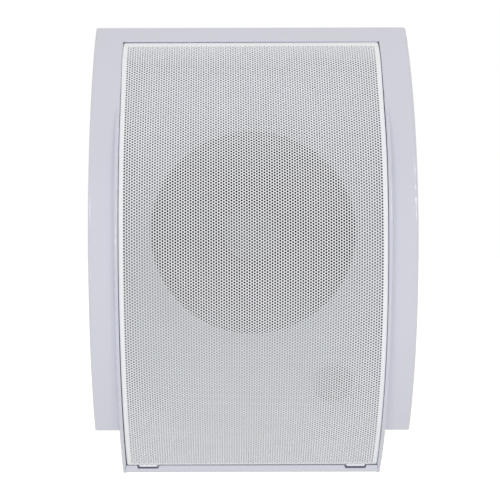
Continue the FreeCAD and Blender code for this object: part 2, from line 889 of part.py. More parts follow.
cup = join_all([cup] + ears).cut(cup_cuts)
write("terminal_cup", cup)
screws = [
    sunk_screw(
        side * cup_screw_side,
        terminal_height,
        cup_screw_head_radius,
        cup_screw_radius,
        cup_screw_length,
        2 * screw_sink,
    )
    for side in (-1, 1)
]
write("terminal_screws", Part.makeCompound(screws))

# Levers, their contact springs and the leads to the driver
lean = math.radians(lever_angle)


def lever_point(x, along, out):
    """A point of a lever from its pivot, along it and out from its middle plane."""
    y = pivot_y + along * math.sin(lean) + out * math.cos(lean)
    z = pivot_z - along * math.cos(lean) + out * math.sin(lean)
    return point(x, y, z)


def edge_between(shape, start, end):
    """The straight edge of a shape whose ends are two given points."""
    for edge in shape.Edges:
        ends = [vertex.Point for vertex in edge.Vertexes]
        if all(min(p.distanceToPoint(q) for q in ends) < tolerance for p in (start, end)):
            return edge


half_lever = lever_thickness / 2
pad_top = half_lever + lever_pad_height
for name, middle, driver_side in (("positive", lever_spacing / 2, 1), ("negative", -lever_spacing / 2, -1)):
    left = middle - lever_width / 2
    corners = [
        lever_point(left, -lever_heel, -half_lever),
        lever_point(left, lever_reach, -half_lever),
        lever_point(left, lever_reach, pad_top),
        lever_point(left, lever_reach - lever_pad, pad_top),
        lever_point(left, lever_reach - lever_pad - lever_pad_height, half_lever),
        lever_point(left, -lever_heel, half_lever),
    ]
    body = Part.Face(Part.makePolygon(corners + corners[:1])).extrude(point(lever_width, 0, 0))
    tip_edges = [
        edge_between(body, lever_point(x, lever_reach, -half_lever), lever_point(x, lever_reach, pad_top))
        for x in (left, left + lever_width)
    ]
    body = body.makeFillet(lever_corner, tip_edges)
    grooves = []
    for i in range(groove_count):
        along = lever_reach - lever_pad * (i + 1) / (groove_count + 1)
        groove = [
            lever_point(left - over, along - groove_width / 2, pad_top + over),
            lever_point(left - over, along + groove_width / 2, pad_top + over),
            lever_point(left - over, along + groove_width / 2, pad_top - groove_depth),
            lever_point(left - over, along - groove_width / 2, pad_top - groove_depth),
        ]
        face = Part.Face(Part.makePolygon(groove + groove[:1]))
        grooves.append(face.extrude(point(lever_width + 2 * over, 0, 0)))
    body = body.cut(grooves)
    pin = Part.makeCylinder(
        pivot_radius,
        2 * ear_outer,
        point(middle - ear_outer, pivot_y, pivot_z),
        point(1, 0, 0),
    )
    write(name + "_lever", join_all([body, pin]))

    foot_low = terminal_height - spring_foot_drop
    foot_high = foot_low + spring_foot
    tip = lever_point(middle, spring_contact, -half_lever - spring_gap)
    arm = (tip - point(middle, cup_floor + spring_sheet, foot_low)).normalize()
    side_step = point(0, -arm.z, arm.y) * spring_sheet
    profile = [
        point(middle, cup_floor, foot_low),
        point(middle, cup_floor, foot_high),
        point(middle, cup_floor + spring_sheet, foot_high),
        point(middle, cup_floor + spring_sheet, foot_low + spring_sheet),
        tip + side_step,
        tip,
    ]
    strip_face = Part.Face(Part.makePolygon(profile + profile[:1]))
    leaf = strip_face.extrude(point(spring_width, 0, 0))
    leaf.translate(point(-spring_width / 2, 0, 0))
    tail = box(
        middle - tail_width / 2,
        middle + tail_width / 2,
        cup_floor - tail_length,
        cup_floor + spring_sheet,
        foot_high - spring_sheet,
        foot_high,
    )
    write(name + "_contact", join_all([leaf, tail]))

    lead_start = point(middle, cup_floor - tail_length / 2, foot_high + lead_radius)
    lead_end = point(driver_side * tag_spacing / 2, tag_middle, tag_top - tag_length - lead_radius - tail_gap)
    lead_middle = (lead_start + lead_end) * 0.5 + point(0, -tail_length, 0)
    write(name + "_lead", tube(Part.Arc(lead_start, lead_middle, lead_end).toShape(), lead_radius))
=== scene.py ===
"""The looks of a wall speaker: fine grille, soft pieces of the driver, contact springs, screws, finishes.

Metres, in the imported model's frame: the wall is the plane y = 0, the front faces -Y and +Z is up.
"""

import math

import bpy
import numpy as np
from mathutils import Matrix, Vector


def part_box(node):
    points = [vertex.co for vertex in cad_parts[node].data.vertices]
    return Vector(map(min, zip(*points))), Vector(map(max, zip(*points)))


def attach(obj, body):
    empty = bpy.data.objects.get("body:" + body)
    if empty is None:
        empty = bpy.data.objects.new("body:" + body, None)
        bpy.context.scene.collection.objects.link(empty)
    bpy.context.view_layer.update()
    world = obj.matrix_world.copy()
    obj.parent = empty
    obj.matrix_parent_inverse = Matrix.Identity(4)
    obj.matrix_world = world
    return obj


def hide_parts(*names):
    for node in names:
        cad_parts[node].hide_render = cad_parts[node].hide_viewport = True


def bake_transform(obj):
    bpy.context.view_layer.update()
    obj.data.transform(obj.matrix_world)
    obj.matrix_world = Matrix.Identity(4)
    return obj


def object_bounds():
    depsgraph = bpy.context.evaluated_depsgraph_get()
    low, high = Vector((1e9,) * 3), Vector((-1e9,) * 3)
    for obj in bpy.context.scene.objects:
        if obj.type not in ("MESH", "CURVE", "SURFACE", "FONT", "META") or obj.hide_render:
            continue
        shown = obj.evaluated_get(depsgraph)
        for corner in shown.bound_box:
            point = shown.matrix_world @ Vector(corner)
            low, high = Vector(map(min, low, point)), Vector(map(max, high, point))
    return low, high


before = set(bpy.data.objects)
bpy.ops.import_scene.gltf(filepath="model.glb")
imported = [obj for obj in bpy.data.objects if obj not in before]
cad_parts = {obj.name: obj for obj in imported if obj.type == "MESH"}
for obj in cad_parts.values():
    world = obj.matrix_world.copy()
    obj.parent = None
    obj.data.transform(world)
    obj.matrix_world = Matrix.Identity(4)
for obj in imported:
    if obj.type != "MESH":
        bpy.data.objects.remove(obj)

bl_info = {
    "name": "Wall speaker",
    "version": (1, 0, 0),
    "blender": (4, 5, 0),
    "location": "3D View > Sidebar > Speaker",
    "description": "Builds the grille, driver pieces, finishes and stage of a wall speaker",
    "category": "Object",
}

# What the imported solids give
CAD_BOX = [list(corner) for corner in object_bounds()]
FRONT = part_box("front_housing")[0].y
GRILLE_LOW, GRILLE_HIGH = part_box("grille")
SURROUND_LOW, SURROUND_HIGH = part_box("surround")
SPIDER_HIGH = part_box("spider")[1]
CONE_LOW, CONE_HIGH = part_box("cone")
FORMER_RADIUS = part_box("voice_coil_former")[1].x
TAGS_LOW, TAGS_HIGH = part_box("solder_tags")
AXIS_Z = (CONE_LOW.z + CONE_HIGH.z) / 2

# The line that the pod and the grille follow: a large arc with a tighter one, the crown, above it
BOW_RADIUS = 0.22494
BOW_RISE = 0.009
CROWN_RADIUS = 0.16004
CROWN_START = 0.042
CROWN_TURN = math.asin(CROWN_START / BOW_RADIUS)
BOW_Y = FRONT + BOW_RADIUS
CROWN_Y = BOW_Y - (BOW_RADIUS - CROWN_RADIUS) * math.cos(CROWN_TURN)
CROWN_Z = BOW_RISE + (BOW_RADIUS - CROWN_RADIUS) * math.sin(CROWN_TURN)
GRILLE_SINK = GRILLE_LOW.y - FRONT
LOWER_ARC = BOW_RADIUS - GRILLE_SINK
UPPER_ARC = CROWN_RADIUS - GRILLE_SINK

# Towards its top the grille leaves the crown, runs straight and is then rolled back
FLAT_START = 0.094
FLAT_TURN = math.asin((FLAT_START - CROWN_Z) / UPPER_ARC)
FLAT_PLACE = (FLAT_TURN - CROWN_TURN) * UPPER_ARC
ROLL_START = 0.128
ROLL_BEND = 0.061
FLAT_LENGTH = (ROLL_START - FLAT_START) / math.cos(FLAT_TURN)

# The grille's foot and its two tongues, which stand in the lip's notches
TONGUE_DROP = 0.0013
TONGUE_WIDTH = 0.0132
TONGUE_PLACE = 0.0755
FOOT_REACH = 0.00025
GRILLE_FOOT = GRILLE_LOW.z + TONGUE_DROP - FOOT_REACH


def srgb(red, green, blue):
    """A colour written as 0 to 255 on a screen, as linear light."""
    values = np.array((red, green, blue)) / 255
    return tuple(np.where(values <= 0.04045, values / 12.92, ((values + 0.055) / 1.055) ** 2.4).tolist())


def number(name, description, default, **limits):
    """A number that the sidebar shows."""
    return bpy.props.FloatProperty(name=name, description=description, default=default, **limits)


def length(name, description, default):
    """A size that the sidebar shows with its unit."""
    return number(name, description, default, min=0, precision=5, unit="LENGTH")


def colour(name, description, default):
    """A colour that the sidebar shows as a swatch."""
    return bpy.props.FloatVectorProperty(
        name=name, description=description, default=default, size=3, min=0, max=1, subtype="COLOR"
    )


class SpeakerSizes(bpy.types.PropertyGroup):
    """Sizes of the pieces that are made here."""

    pitch: length("Hole pitch", "Distance between the holes of a column", 0.002024)
    column_step: length("Column step", "Distance between neighbouring columns of holes", 0.001725)
    hole: length("Hole", "Width of a hole in the grille", 0.00145)
    sheet: length("Sheet", "Thickness of the grille's steel", 0.0010)
    border: length("Border", "Plain edge beside the field of holes", 0.0028)
    top_border: length("Top border", "Plain edge above the field of holes", 0.0040)
    foot_border: length("Foot border", "Plain edge below the field of holes", 0.0006)
    bend: length("Bend", "Outer radius of the grille's folded edge", 0.0013)
    fold: length("Fold", "Depth of the folded edge", 0.0052)
    seat_lift: length("Seat lift", "How far the grille sits up in its pocket", 0.00010)
    seat_turn: number(
        "Seat turn", "How far the grille sits turned in its pocket", math.radians(0.08), subtype="ANGLE"
    )


class SpeakerColours(bpy.types.PropertyGroup):
    """Colours of the finishes."""

    front_plastic: colour("Front plastic", "Glossy moulded front", srgb(206, 211, 230))
    # Painted shade: a darker colour for the moulding in the recess behind the grille, where little light
    # reaches
    painted_shade_colour: colour("Recess plastic", "Duller moulding behind the grille", srgb(183, 187, 199))
    rear_plastic: colour("Rear plastic", "Textured rear cover", srgb(203, 205, 213))
    grille_paint: colour("Grille paint", "Baked paint on the grille", srgb(235, 240, 252))
    cone_paper: colour("Cone paper", "Pressed paper of the cone", srgb(36, 34, 43))
    rubber: colour("Rubber", "Surround of the cone", srgb(34, 34, 36))
    positive: colour("Positive lever", "Plastic of the positive lever", srgb(172, 28, 26))
    negative: colour("Negative lever", "Plastic of the negative lever", srgb(28, 28, 30))
    spider_cloth: colour("Spider cloth", "Resin-dipped cotton of the spider", srgb(196, 150, 88))


class SpeakerStage(bpy.types.PropertyGroup):
    """Camera, lamps and floor."""

    lens: number("Lens", "Focal length in millimetres", 92.9)
    camera_place: bpy.props.FloatVectorProperty(
        name="Camera",
        description="Where the camera stands",
        default=(-0.020, -0.976, 0.0015),
        unit="LENGTH",
    )
    camera_shift: bpy.props.FloatVectorProperty(
        name="Shift",
        description="Framing of the view, as shares of its width",
        default=(0.0525, -0.0006),
        size=2,
    )
    camera_roll: number(
        "Roll", "How far the camera is turned about its line of sight", math.radians(0.14), subtype="ANGLE"
    )
    front_power: number("Front lamp", "Power of the lamp behind the camera in watts", 0.6, min=0)
    low_power: number("Low lamp", "Power of the lamp near the floor in watts", 0.5, min=0)
    side_power: number("Side lamps", "Power of the small lamp on each side in watts", 2.5, min=0)
    sky: number("Sky", "Strength of the even light from all sides", 0.80, min=0)
    floor_drop: length("Floor drop", "How far the floor lies below the speaker", 0.30)


# Points and faces
SHARP_EDGE = math.radians(35)


def cad_points(name):
    """The corners of a CAD node's mesh."""
    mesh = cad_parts[name].data
    points = np.zeros(len(mesh.vertices) * 3)
    mesh.vertices.foreach_get("co", points)
    return points.reshape(-1, 3)


def skin(sections, round_trip=False):
    """The closed skin over a row of loops, given as an array of rows, corners and coordinates.

    Corner c of row r is joined to its neighbours c + 1 and r + 1 by a four-sided face. Loops that come
    round to the first one have no ends; others get a flat face at each end.
    """
    rows, corners = sections.shape[:2]
    here = np.arange(rows * corners).reshape(rows, corners)
    beside = np.roll(here, -1, axis=1)
    after = np.roll(here, -1, axis=0)
    across = np.roll(beside, -1, axis=0)
    quads = np.stack([here, beside, across, after], axis=-1)
    if round_trip:
        return sections.reshape(-1, 3), [quads.reshape(-1, 4)]
    ends = [here[:1, ::-1], here[-1:]]
    return sections.reshape(-1, 3), [quads[:-1].reshape(-1, 4)] + ends


def together(skins):
    """Several closed skins as one set of points and faces, each with its faces looking out."""
    counts = [len(points) for points, faces in skins]
    starts = np.cumsum([0] + counts[:-1])
    points = np.concatenate([p for p, faces in skins])
    faces = [f + start for (p, many), start in zip(skins, starts) for f in outward(p, many)]
    return points, faces


def outward(points, faces):
    """Faces that look out of a closed skin: each is turned round if the skin holds a negative volume.

    The volume is the sum over triangles of corner a . (corner b x corner c) / 6.
    """
    volume = 0.0
    for face in faces:
        for k in range(1, face.shape[1] - 1):
            a, b, c = points[face[:, 0]], points[face[:, k]], points[face[:, k + 1]]
            volume += np.einsum("ij,ij->", a, np.cross(b, c))
    return [face[:, ::-1] for face in faces] if volume < 0 else faces


def add_piece(name, points, faces, slot, *nodes):
    """A mesh object at the origin that wears a slot's finish and stands for CAD nodes."""
    faces = outward(points, faces)
    mesh = bpy.data.meshes.new(name)
    corners = np.concatenate([face.ravel() for face in faces])
    sizes = np.concatenate([np.full(len(face), face.shape[1]) for face in faces])
    mesh.vertices.add(len(points))
    mesh.vertices.foreach_set("co", points.astype(np.float32).ravel())
    mesh.loops.add(len(corners))
    mesh.loops.foreach_set("vertex_index", corners.astype(np.int32))
    mesh.polygons.add(len(sizes))
    mesh.polygons.foreach_set("loop_start", (np.cumsum(sizes) - sizes).astype(np.int32))
    mesh.update(calc_edges=True)
    mesh.shade_smooth()
    mesh.set_sharp_from_angle(angle=SHARP_EDGE)
    if mesh.validate():
        raise RuntimeError(name + " has faces that don't hold together")
    piece = bpy.data.objects.new(name, mesh)
    bpy.context.scene.collection.objects.link(piece)
    piece.data.materials.append(finish(slot))
    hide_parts(*nodes)
    return piece


def turned(profile, count):
    """The skin of a closed profile of (radius, y) carried round the driver's axis.

    At turn a, a corner of radius r lies at x = r cos a, z = axis + r sin a.
    """
    turn = np.linspace(0, 2 * np.pi, count, endpoint=False)[:, None]
    radius, y = profile[:, 0][None], profile[:, 1][None]
    sections = np.stack([radius * np.cos(turn), y + 0 * turn, AXIS_Z + radius * np.sin(turn)], axis=-1)
    return skin(sections, round_trip=True)


def arc_through(first, middle, last, count):
    """Points (y, z) along the circle through three points, from the first by the middle to the last.

    The centre is as far from the first point as from the other two, which gives two linear equations.
    """
    rows = 2 * np.array([middle - first, last - first])
    sums = [middle @ middle - first @ first, last @ last - first @ first]
    centre = np.linalg.solve(rows, sums)
    start, way, end = [math.atan2(*(p - centre)[::-1]) for p in (first, middle, last)]
    way = start + (way - start + math.pi) % (2 * math.pi) - math.pi
    end = way + (end - way + math.pi) % (2 * math.pi) - math.pi
    turn = np.linspace(start, end, count)
    radius = np.linalg.norm(first - centre)
    return centre + radius * np.stack([np.cos(turn), np.sin(turn)], axis=-1)


def parabola(first, middle, last, count):
    """Points (y, z) of the parabola through three points, which it passes at t = 0, s and 1.

    s is the first chord's share of both chords, and p(t) is the sum of each point times its own quadratic,
    which is 1 at that point's place and 0 at the other two.
    """
    before, after = np.linalg.norm(middle - first), np.linalg.norm(last - middle)
    s = before / (before + after)
    t = np.linspace(0, 1, count)[:, None]
    start, way, end = (t - s) * (t - 1) / s, t * (1 - t) / (s * (1 - s)), t * (t - s) / (1 - s)
    return first * start + middle * way + last * end


def sides_of(path):
    """Unit vectors at right angles to a path of (y, z) points, to the left of its direction."""
    along = np.gradient(path, axis=0)
    along /= np.linalg.norm(along, axis=1)[:, None]
    return np.stack([-along[:, 1], along[:, 0]], axis=-1)


def carried(loops, across):
    """The skin of a section carried along a path: loops of (y, z) points, and the x of a loop's corners."""
    x = np.broadcast_to(across, loops.shape[:2])[..., None]
    return skin(np.concatenate([x, loops], axis=-1))


def tube(path, x, radius, count):
    """The skin of a round lead: a circle carried along a path of (y, z) points in the plane of one x."""
    turn = np.linspace(0, 2 * np.pi, count, endpoint=False)
    side = sides_of(path)[:, None] * (radius * np.sin(turn))[None, :, None]
    return carried(path[:, None] + side, x + radius * np.cos(turn))


def ribbon(path, x, width, sheet):
    """The skin of a strip: a flat rectangle carried along a path of (y, z) points, centred on one x."""
    side = sides_of(path) * sheet / 2
    low, high = path - side, path + side
    across = x + width / 2 * np.array([-1, 1, 1, -1])
    return carried(np.stack([low, low, high, high], axis=1), across)


# Grille
BEND_STEPS = 9
SIDE_STEPS = 160
CORNER_STEPS = 7
NO_LENGTH = 1e-7


def on_bow(along, depth):
    """Points (y, z) of the grille's line.

    along is measured on the front face from where the two arcs meet, and depth behind that face. The angle
    is the crown's turn plus along / radius, on the arc that holds the point, until the sheet's flat part,
    where it stays while along runs straight on. What is left of along rolls back by along / roll's radius.
    """
    lower = along < 0
    flat = np.clip(along - FLAT_PLACE, 0, FLAT_LENGTH)
    rolled = np.maximum(along - FLAT_PLACE - FLAT_LENGTH, 0)
    angle = CROWN_TURN + (along - flat - rolled) / np.where(lower, LOWER_ARC, UPPER_ARC)
    radius = np.where(lower, LOWER_ARC, UPPER_ARC) - depth
    last = FLAT_TURN + rolled / ROLL_BEND
    back = (ROLL_BEND - depth) * (math.cos(FLAT_TURN) - np.cos(last))
    climb = (ROLL_BEND - depth) * (np.sin(last) - math.sin(FLAT_TURN))
    y = np.where(lower, BOW_Y, CROWN_Y) - radius * np.cos(angle) + flat * math.sin(FLAT_TURN) + back
    z = np.where(lower, BOW_RISE, CROWN_Z) + radius * np.sin(angle) + flat * math.cos(FLAT_TURN) + climb
    return y, z


def fold_places(bend):
    """Where the folds of the two ends start, along the line and as angles, so that each bend ends level.

    A bend of radius b that starts at angle a and turns until it is level rises by b (1 - |sin a|).
    """
    low = math.asin((GRILLE_FOOT + bend - BOW_RISE) / (LOWER_ARC - bend))
    climb = GRILLE_HIGH.z - bend - ROLL_START + ROLL_BEND * math.sin(FLAT_TURN)
    high = math.asin(climb / (ROLL_BEND - bend))
    stop = FLAT_PLACE + FLAT_LENGTH + (high - FLAT_TURN) * ROLL_BEND
    return ((low - CROWN_TURN) * LOWER_ARC, low), (stop, high)


def seated(points, sizes):
    """The grille's points as it sits: turned a little about the line of sight, and lifted."""
    c, s = math.cos(sizes.seat_turn), math.sin(sizes.seat_turn)
    x, y, z = points.T
    return np.stack([c * x - s * z, y, s * x + c * z + sizes.seat_lift], axis=-1)


def lattice(sizes, start, stop):
    """The sheet between two places along the bow, as flat corners (across, along) and faces with their rows.

    Holes stand in columns, each moved half a pitch against the next. A hole is a hexagon as large as its
    circle, and the sheet is a strand to each of its six neighbours and a triangle where three holes meet.
    Cells in the border have no hole. What would reach past the sheet is pressed on to its edge, and faces
    left with no area go.
    """
    pitch, step = sizes.pitch, sizes.column_step
    edge = GRILLE_HIGH.x - sizes.bend
    reach = math.ceil(edge / step) + 1
    columns = np.arange(-reach, reach)
    rows = np.arange(-1, math.ceil((stop - start) / pitch) + 2)
    i, j = np.meshgrid(columns, rows, indexing="ij")
    across = (i + 0.5) * step
    along = start + ((stop - start) % pitch) / 2 + (j + 0.5 * (i % 2)) * pitch
    hole_reach = sizes.hole / 2 * math.sqrt(2 * math.pi / (3 * math.sqrt(3)))
    field = GRILLE_HIGH.x - sizes.border
    punched = np.abs(across) + sizes.hole / 2 < field
    punched &= along - sizes.hole > start + sizes.foot_border
    punched &= along + sizes.hole < stop - sizes.top_border
    turn = np.radians(60) * np.arange(6)
    flat = np.stack(
        [
            np.clip(across[..., None] + hole_reach * np.cos(turn), -edge, edge),
            np.clip(along[..., None] + hole_reach * np.sin(turn), start, stop),
        ],
        axis=-1,
    ).reshape(-1, 2)
    corner = np.arange(flat.shape[0]).reshape(*i.shape, 6)

    c, r = np.meshgrid(np.arange(len(columns) - 1), np.arange(1, len(rows) - 2), indexing="ij")
    odd = columns[c] % 2
    here, above = corner[c, r], corner[c, r + 1]
    upper, lower = corner[c + 1, r + odd], corner[c + 1, r + odd - 1]
    quads = [
        [here[..., 2], here[..., 1], above[..., 5], above[..., 4]],
        [here[..., 0], upper[..., 4], upper[..., 3], here[..., 1]],
        [here[..., 5], lower[..., 3], lower[..., 2], here[..., 0]],
    ]
    triangles = [
        [here[..., 0], lower[..., 2], upper[..., 4]],
        [here[..., 1], upper[..., 3], above[..., 5]],
    ]
    row = r.ravel()
    plain = ~punched[c, r].ravel()
    found = [(np.stack(q, axis=-1).reshape(-1, 4), row) for q in quads]
    found += [(np.stack(t, axis=-1).reshape(-1, 3), row) for t in triangles]
    found.append((here.reshape(-1, 6)[plain], row[plain]))
    kept = []
    for faces, owner in found:
        x, y = flat[faces, 0], flat[faces, 1]
        area = np.sum(x * np.roll(y, -1, axis=1) - y * np.roll(x, -1, axis=1), axis=1) / 2
        solid = area > (pitch / 100) ** 2
        kept.append((faces[solid], owner[solid]))
    return flat, kept, len(rows)


def perforated_skin(flat, faces, sizes):
    """The closed skin of a perforated band: front, rear one sheet behind, and a wall on each free edge."""
    used = np.unique(np.concatenate([face.ravel() for face in faces]))
    number = np.zeros(len(flat), int)
    number[used] = np.arange(len(used))
    faces = [number[face] for face in faces]
    across, along = flat[used].T
    skins = []
    for depth in (0.0, sizes.sheet):
        y, z = on_bow(along, depth)
        skins.append(np.stack([across, y, z], axis=-1))
    count = len(used)
    a = np.concatenate([face.ravel() for face in faces])
    b = np.concatenate([np.roll(face, -1, axis=1).ravel() for face in faces])
    free = ~np.isin(a * count + b, b * count + a)
    free &= np.linalg.norm(flat[used[a]] - flat[used[b]], axis=1) > NO_LENGTH
    a, b = a[free], b[free]
    walls = np.stack([b, a, a + count, b + count], axis=-1)
    rear = [face[:, ::-1] + count for face in faces]
    return np.concatenate(skins), faces + rear + [walls]


def folded_edges(sizes, start, stop):
    """The grille's folded edges: a bent strip along each side and across each end.

    A side's section starts flat at the sheet, turns back round the bend and runs straight to the fold's
    depth. An end's section turns round the same bend until it is level, and runs back by the fold's depth.
    """
    half, bend, sheet = GRILLE_HIGH.x, sizes.bend, sizes.sheet
    turn = np.linspace(0, np.pi / 2, BEND_STEPS)
    inner = bend - sheet
    outside = np.stack([half - bend + bend * np.sin(turn), bend * (1 - np.cos(turn))], axis=-1)
    inside = np.stack([half - bend + inner * np.sin(turn), bend - inner * np.cos(turn)], axis=-1)
    foot = np.array([[half, sizes.fold], [half - sheet, sizes.fold]])
    section = np.concatenate([outside, foot, inside[::-1]])
    along = np.linspace(start, stop, SIDE_STEPS)[:, None]
    skins = []
    for side in (-1, 1):
        y, z = on_bow(along, section[:, 1][None])
        x = np.broadcast_to(side * section[:, 0], y.shape)
        skins.append(skin(np.stack([x, y, z], axis=-1)))
    for (place, angle), up in zip(fold_places(bend), (-1, 1)):
        y0, z0 = [float(v) for v in on_bow(np.array(place), np.array(0.0))]
        tangent = up * np.array([math.sin(angle), math.cos(angle)])
        inward = np.array([math.cos(angle), -math.sin(angle)])
        turn = np.linspace(0, np.pi / 2 - abs(angle), BEND_STEPS)[:, None]
        centre = np.array([y0, z0]) + bend * inward
        spoke = np.sin(turn) * tangent - np.cos(turn) * inward
        back = np.array([sizes.fold / math.cos(angle), 0.0])
        outside, inside = centre + bend * spoke, centre + inner * spoke
        section = np.concatenate([outside, [outside[-1] + back, inside[-1] + back], inside[::-1]])
        x = np.array([-half + bend, half - bend])[:, None]
        y, z = [np.broadcast_to(section[:, k], (2, len(section))) for k in (0, 1)]
        skins.append(skin(np.stack([np.broadcast_to(x, y.shape), y, z], axis=-1)))
    skins += [tongue(side * TONGUE_PLACE, sheet) for side in (-1, 1)]
    return together(skins)


def tongue(x, sheet):
    """A tongue of the grille's foot, which stands in a notch: a plate whose two lower corners are rounded.

    A corner's points lie at its middle + radius (cos a, sin a), with a from 180 to 360 degrees over both.
    """
    radius = TONGUE_DROP / 2
    turn = np.radians([np.linspace(180, 270, CORNER_STEPS), np.linspace(270, 360, CORNER_STEPS)]).ravel()
    middle = (TONGUE_WIDTH / 2 - radius) * np.repeat([-1, 1], CORNER_STEPS)
    across = np.concatenate([middle + radius * np.cos(turn), [TONGUE_WIDTH / 2, -TONGUE_WIDTH / 2]])
    high = GRILLE_FOOT + sheet / 2
    height = np.concatenate([GRILLE_LOW.z + radius * (1 + np.sin(turn)), [high, high]])
    front = BOW_Y - math.sqrt(LOWER_ARC ** 2 - (GRILLE_FOOT - BOW_RISE) ** 2)
    y = np.array([front, front + sheet])[:, None]
    sections = np.stack(np.broadcast_arrays((x + across)[None], y, height[None]), axis=-1)
    return skin(sections)


class SPEAKER_OT_grille(bpy.types.Operator):
    """Build the finely perforated grille in three bands, with its folded edge"""

    bl_idname = "speaker.grille"
    bl_label = "Grille"

    def execute(self, context):
        sizes = context.scene.speaker_sizes
        start, stop = [place for place, angle in fold_places(sizes.bend)]
        flat, found, rows = lattice(sizes, start, stop)
        names = ("grille_lower", "grille_middle", "grille_upper")
        for k, name in enumerate(names):
            first, last = k * rows // len(names), (k + 1) * rows // len(names)
            faces = [face[(row >= first) & (row < last)] for face, row in found]
            points, faces = perforated_skin(flat, [face for face in faces if len(face)], sizes)
            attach(add_piece(name, seated(points, sizes), faces, "white_paint", "grille"), "cabinet")
        points, faces = folded_edges(sizes, start, stop)
        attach(add_piece("grille_edge", seated(points, sizes), faces, "white_paint", "grille"), "cabinet")
        return {"FINISHED"}


# Driver's soft pieces
ROUND_STEPS = 180
SURROUND_STEPS = 33
SKIRT_STEPS = 12
SURROUND_SHEET = 0.0005
SURROUND_MIDDLE = 0.065
SURROUND_ROLL = 0.0047
LAND_INNER = 0.056


class SPEAKER_OT_surround(bpy.types.Operator):
    """Build the rubber surround, which flexes between the cone and the basket"""

    bl_idname = "speaker.surround"
    bl_label = "Surround"

    def execute(self, context):
        # From the outer edge: a half circle, a straight skirt back to the cone and a land on it
        lip = SURROUND_LOW.y + SURROUND_ROLL
        land = SURROUND_HIGH.y - SURROUND_SHEET
        turn = np.linspace(0, np.pi, SURROUND_STEPS)[:, None]
        middle = np.array([SURROUND_MIDDLE, lip])
        spoke = np.concatenate([np.cos(turn), -np.sin(turn)], axis=1)
        inner = SURROUND_ROLL - SURROUND_SHEET
        left = SURROUND_MIDDLE - SURROUND_ROLL
        skirt = np.linspace(lip, land, SKIRT_STEPS)[1:-1, None]
        front = np.concatenate([
            [[SURROUND_HIGH.x, lip]],
            middle + SURROUND_ROLL * spoke,
            np.concatenate([np.full_like(skirt, left), skirt], axis=1),
            [[left, land], [LAND_INNER, land]],
        ])
        rear = np.concatenate([
            [[SURROUND_HIGH.x, lip + SURROUND_SHEET]],
            [[SURROUND_MIDDLE + inner, lip + SURROUND_SHEET]],
            middle + inner * spoke,
            np.concatenate([np.full_like(skirt, left + SURROUND_SHEET), skirt], axis=1),
            [[left + SURROUND_SHEET, SURROUND_HIGH.y], [LAND_INNER, SURROUND_HIGH.y]],
        ])
        points, faces = turned(np.concatenate([front, rear[::-1]]), ROUND_STEPS)
        piece = add_piece("surround_rubber", points, faces, "black_rubber", "surround")
        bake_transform(piece)
        return {"FINISHED"}


SPIDER_STEPS = 121
SPIDER_SHEET = 0.0005
SPIDER_WAVE = 0.0012
SPIDER_WAVES = 5
SPIDER_CUP = 0.005
SPIDER_GLUE = 0.0011
SPIDER_COLLAR = FORMER_RADIUS + SPIDER_GLUE
SPIDER_SHELF = 0.0348
COLLAR_Y = SPIDER_HIGH.y - SPIDER_WAVE - SPIDER_SHEET / 2 + SPIDER_CUP / (2 * SPIDER_WAVES)
SHELF_Y = COLLAR_Y - SPIDER_CUP


class SPEAKER_OT_spider(bpy.types.Operator):
    """Build the corrugated cloth spider, which flexes between the coil and the basket"""

    bl_idname = "speaker.spider"
    bl_label = "Spider"

    def execute(self, context):
        # A straight fall from collar to shelf plus a cosine wave, which swells in and out over half a wave
        waved = np.linspace(SPIDER_COLLAR, SPIDER_SHELF, SPIDER_STEPS)
        radius = np.concatenate([[FORMER_RADIUS], waved, [SPIDER_HIGH.x]])
        share = np.clip((radius - SPIDER_COLLAR) / (SPIDER_SHELF - SPIDER_COLLAR), 0, 1)
        swell = np.clip(np.minimum(share, 1 - share) * 2 * SPIDER_WAVES, 0, 1)
        wave = -SPIDER_WAVE * swell * np.cos(2 * np.pi * SPIDER_WAVES * share)
        level = COLLAR_Y + share * (SHELF_Y - COLLAR_Y) + wave
        front = np.stack([radius, level - SPIDER_SHEET / 2], axis=-1)
        rear = np.stack([radius, level + SPIDER_SHEET / 2], axis=-1)
        points, faces = turned(np.concatenate([front, rear[::-1]]), ROUND_STEPS)
        piece = add_piece("spider_cloth", points, faces, "tan_cloth", "spider")
        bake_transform(piece)
        return {"FINISHED"}


# Places (y, z) where a tinsel lead leaves the cone and where it passes the basket's shelf
TINSEL_EYE = (-0.0483, -0.0143)
TINSEL_SHELF = (-0.0496, -0.0316)
TINSEL_RADIUS = 0.0005
TINSEL_STEPS = 48
TINSEL_SIDES = 12
TAG_EYE = 0.006


class SPEAKER_OT_tinsel_leads(bpy.types.Operator):
    """Build the two tinsel leads, which flex between the cone and the tags"""

    bl_idname = "speaker.tinsel_leads"
    bl_label = "Tinsel leads"

    def execute(self, context):
        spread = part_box("tinsel_leads")[1].x - TINSEL_RADIUS
        tag = np.array([TAGS_LOW.y - TINSEL_RADIUS, TAGS_HIGH.z - TAG_EYE])
        path = parabola(tag, np.array(TINSEL_SHELF), np.array(TINSEL_EYE), TINSEL_STEPS)
        leads = [tube(path, side * spread, TINSEL_RADIUS, TINSEL_SIDES) for side in (-1, 1)]
        piece = add_piece("tinsel_braid", *together(leads), "tinsel", "tinsel_leads")
        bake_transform(piece)
        return {"FINISHED"}


# Contact springs
SPRING_SHEET = 0.0005
SPRING_WIDTH = 0.006
SPRING_BEND = 0.0008
SPRING_STEPS = 16
TAIL_WIDTH = 0.004
TAIL_LENGTH = 0.010


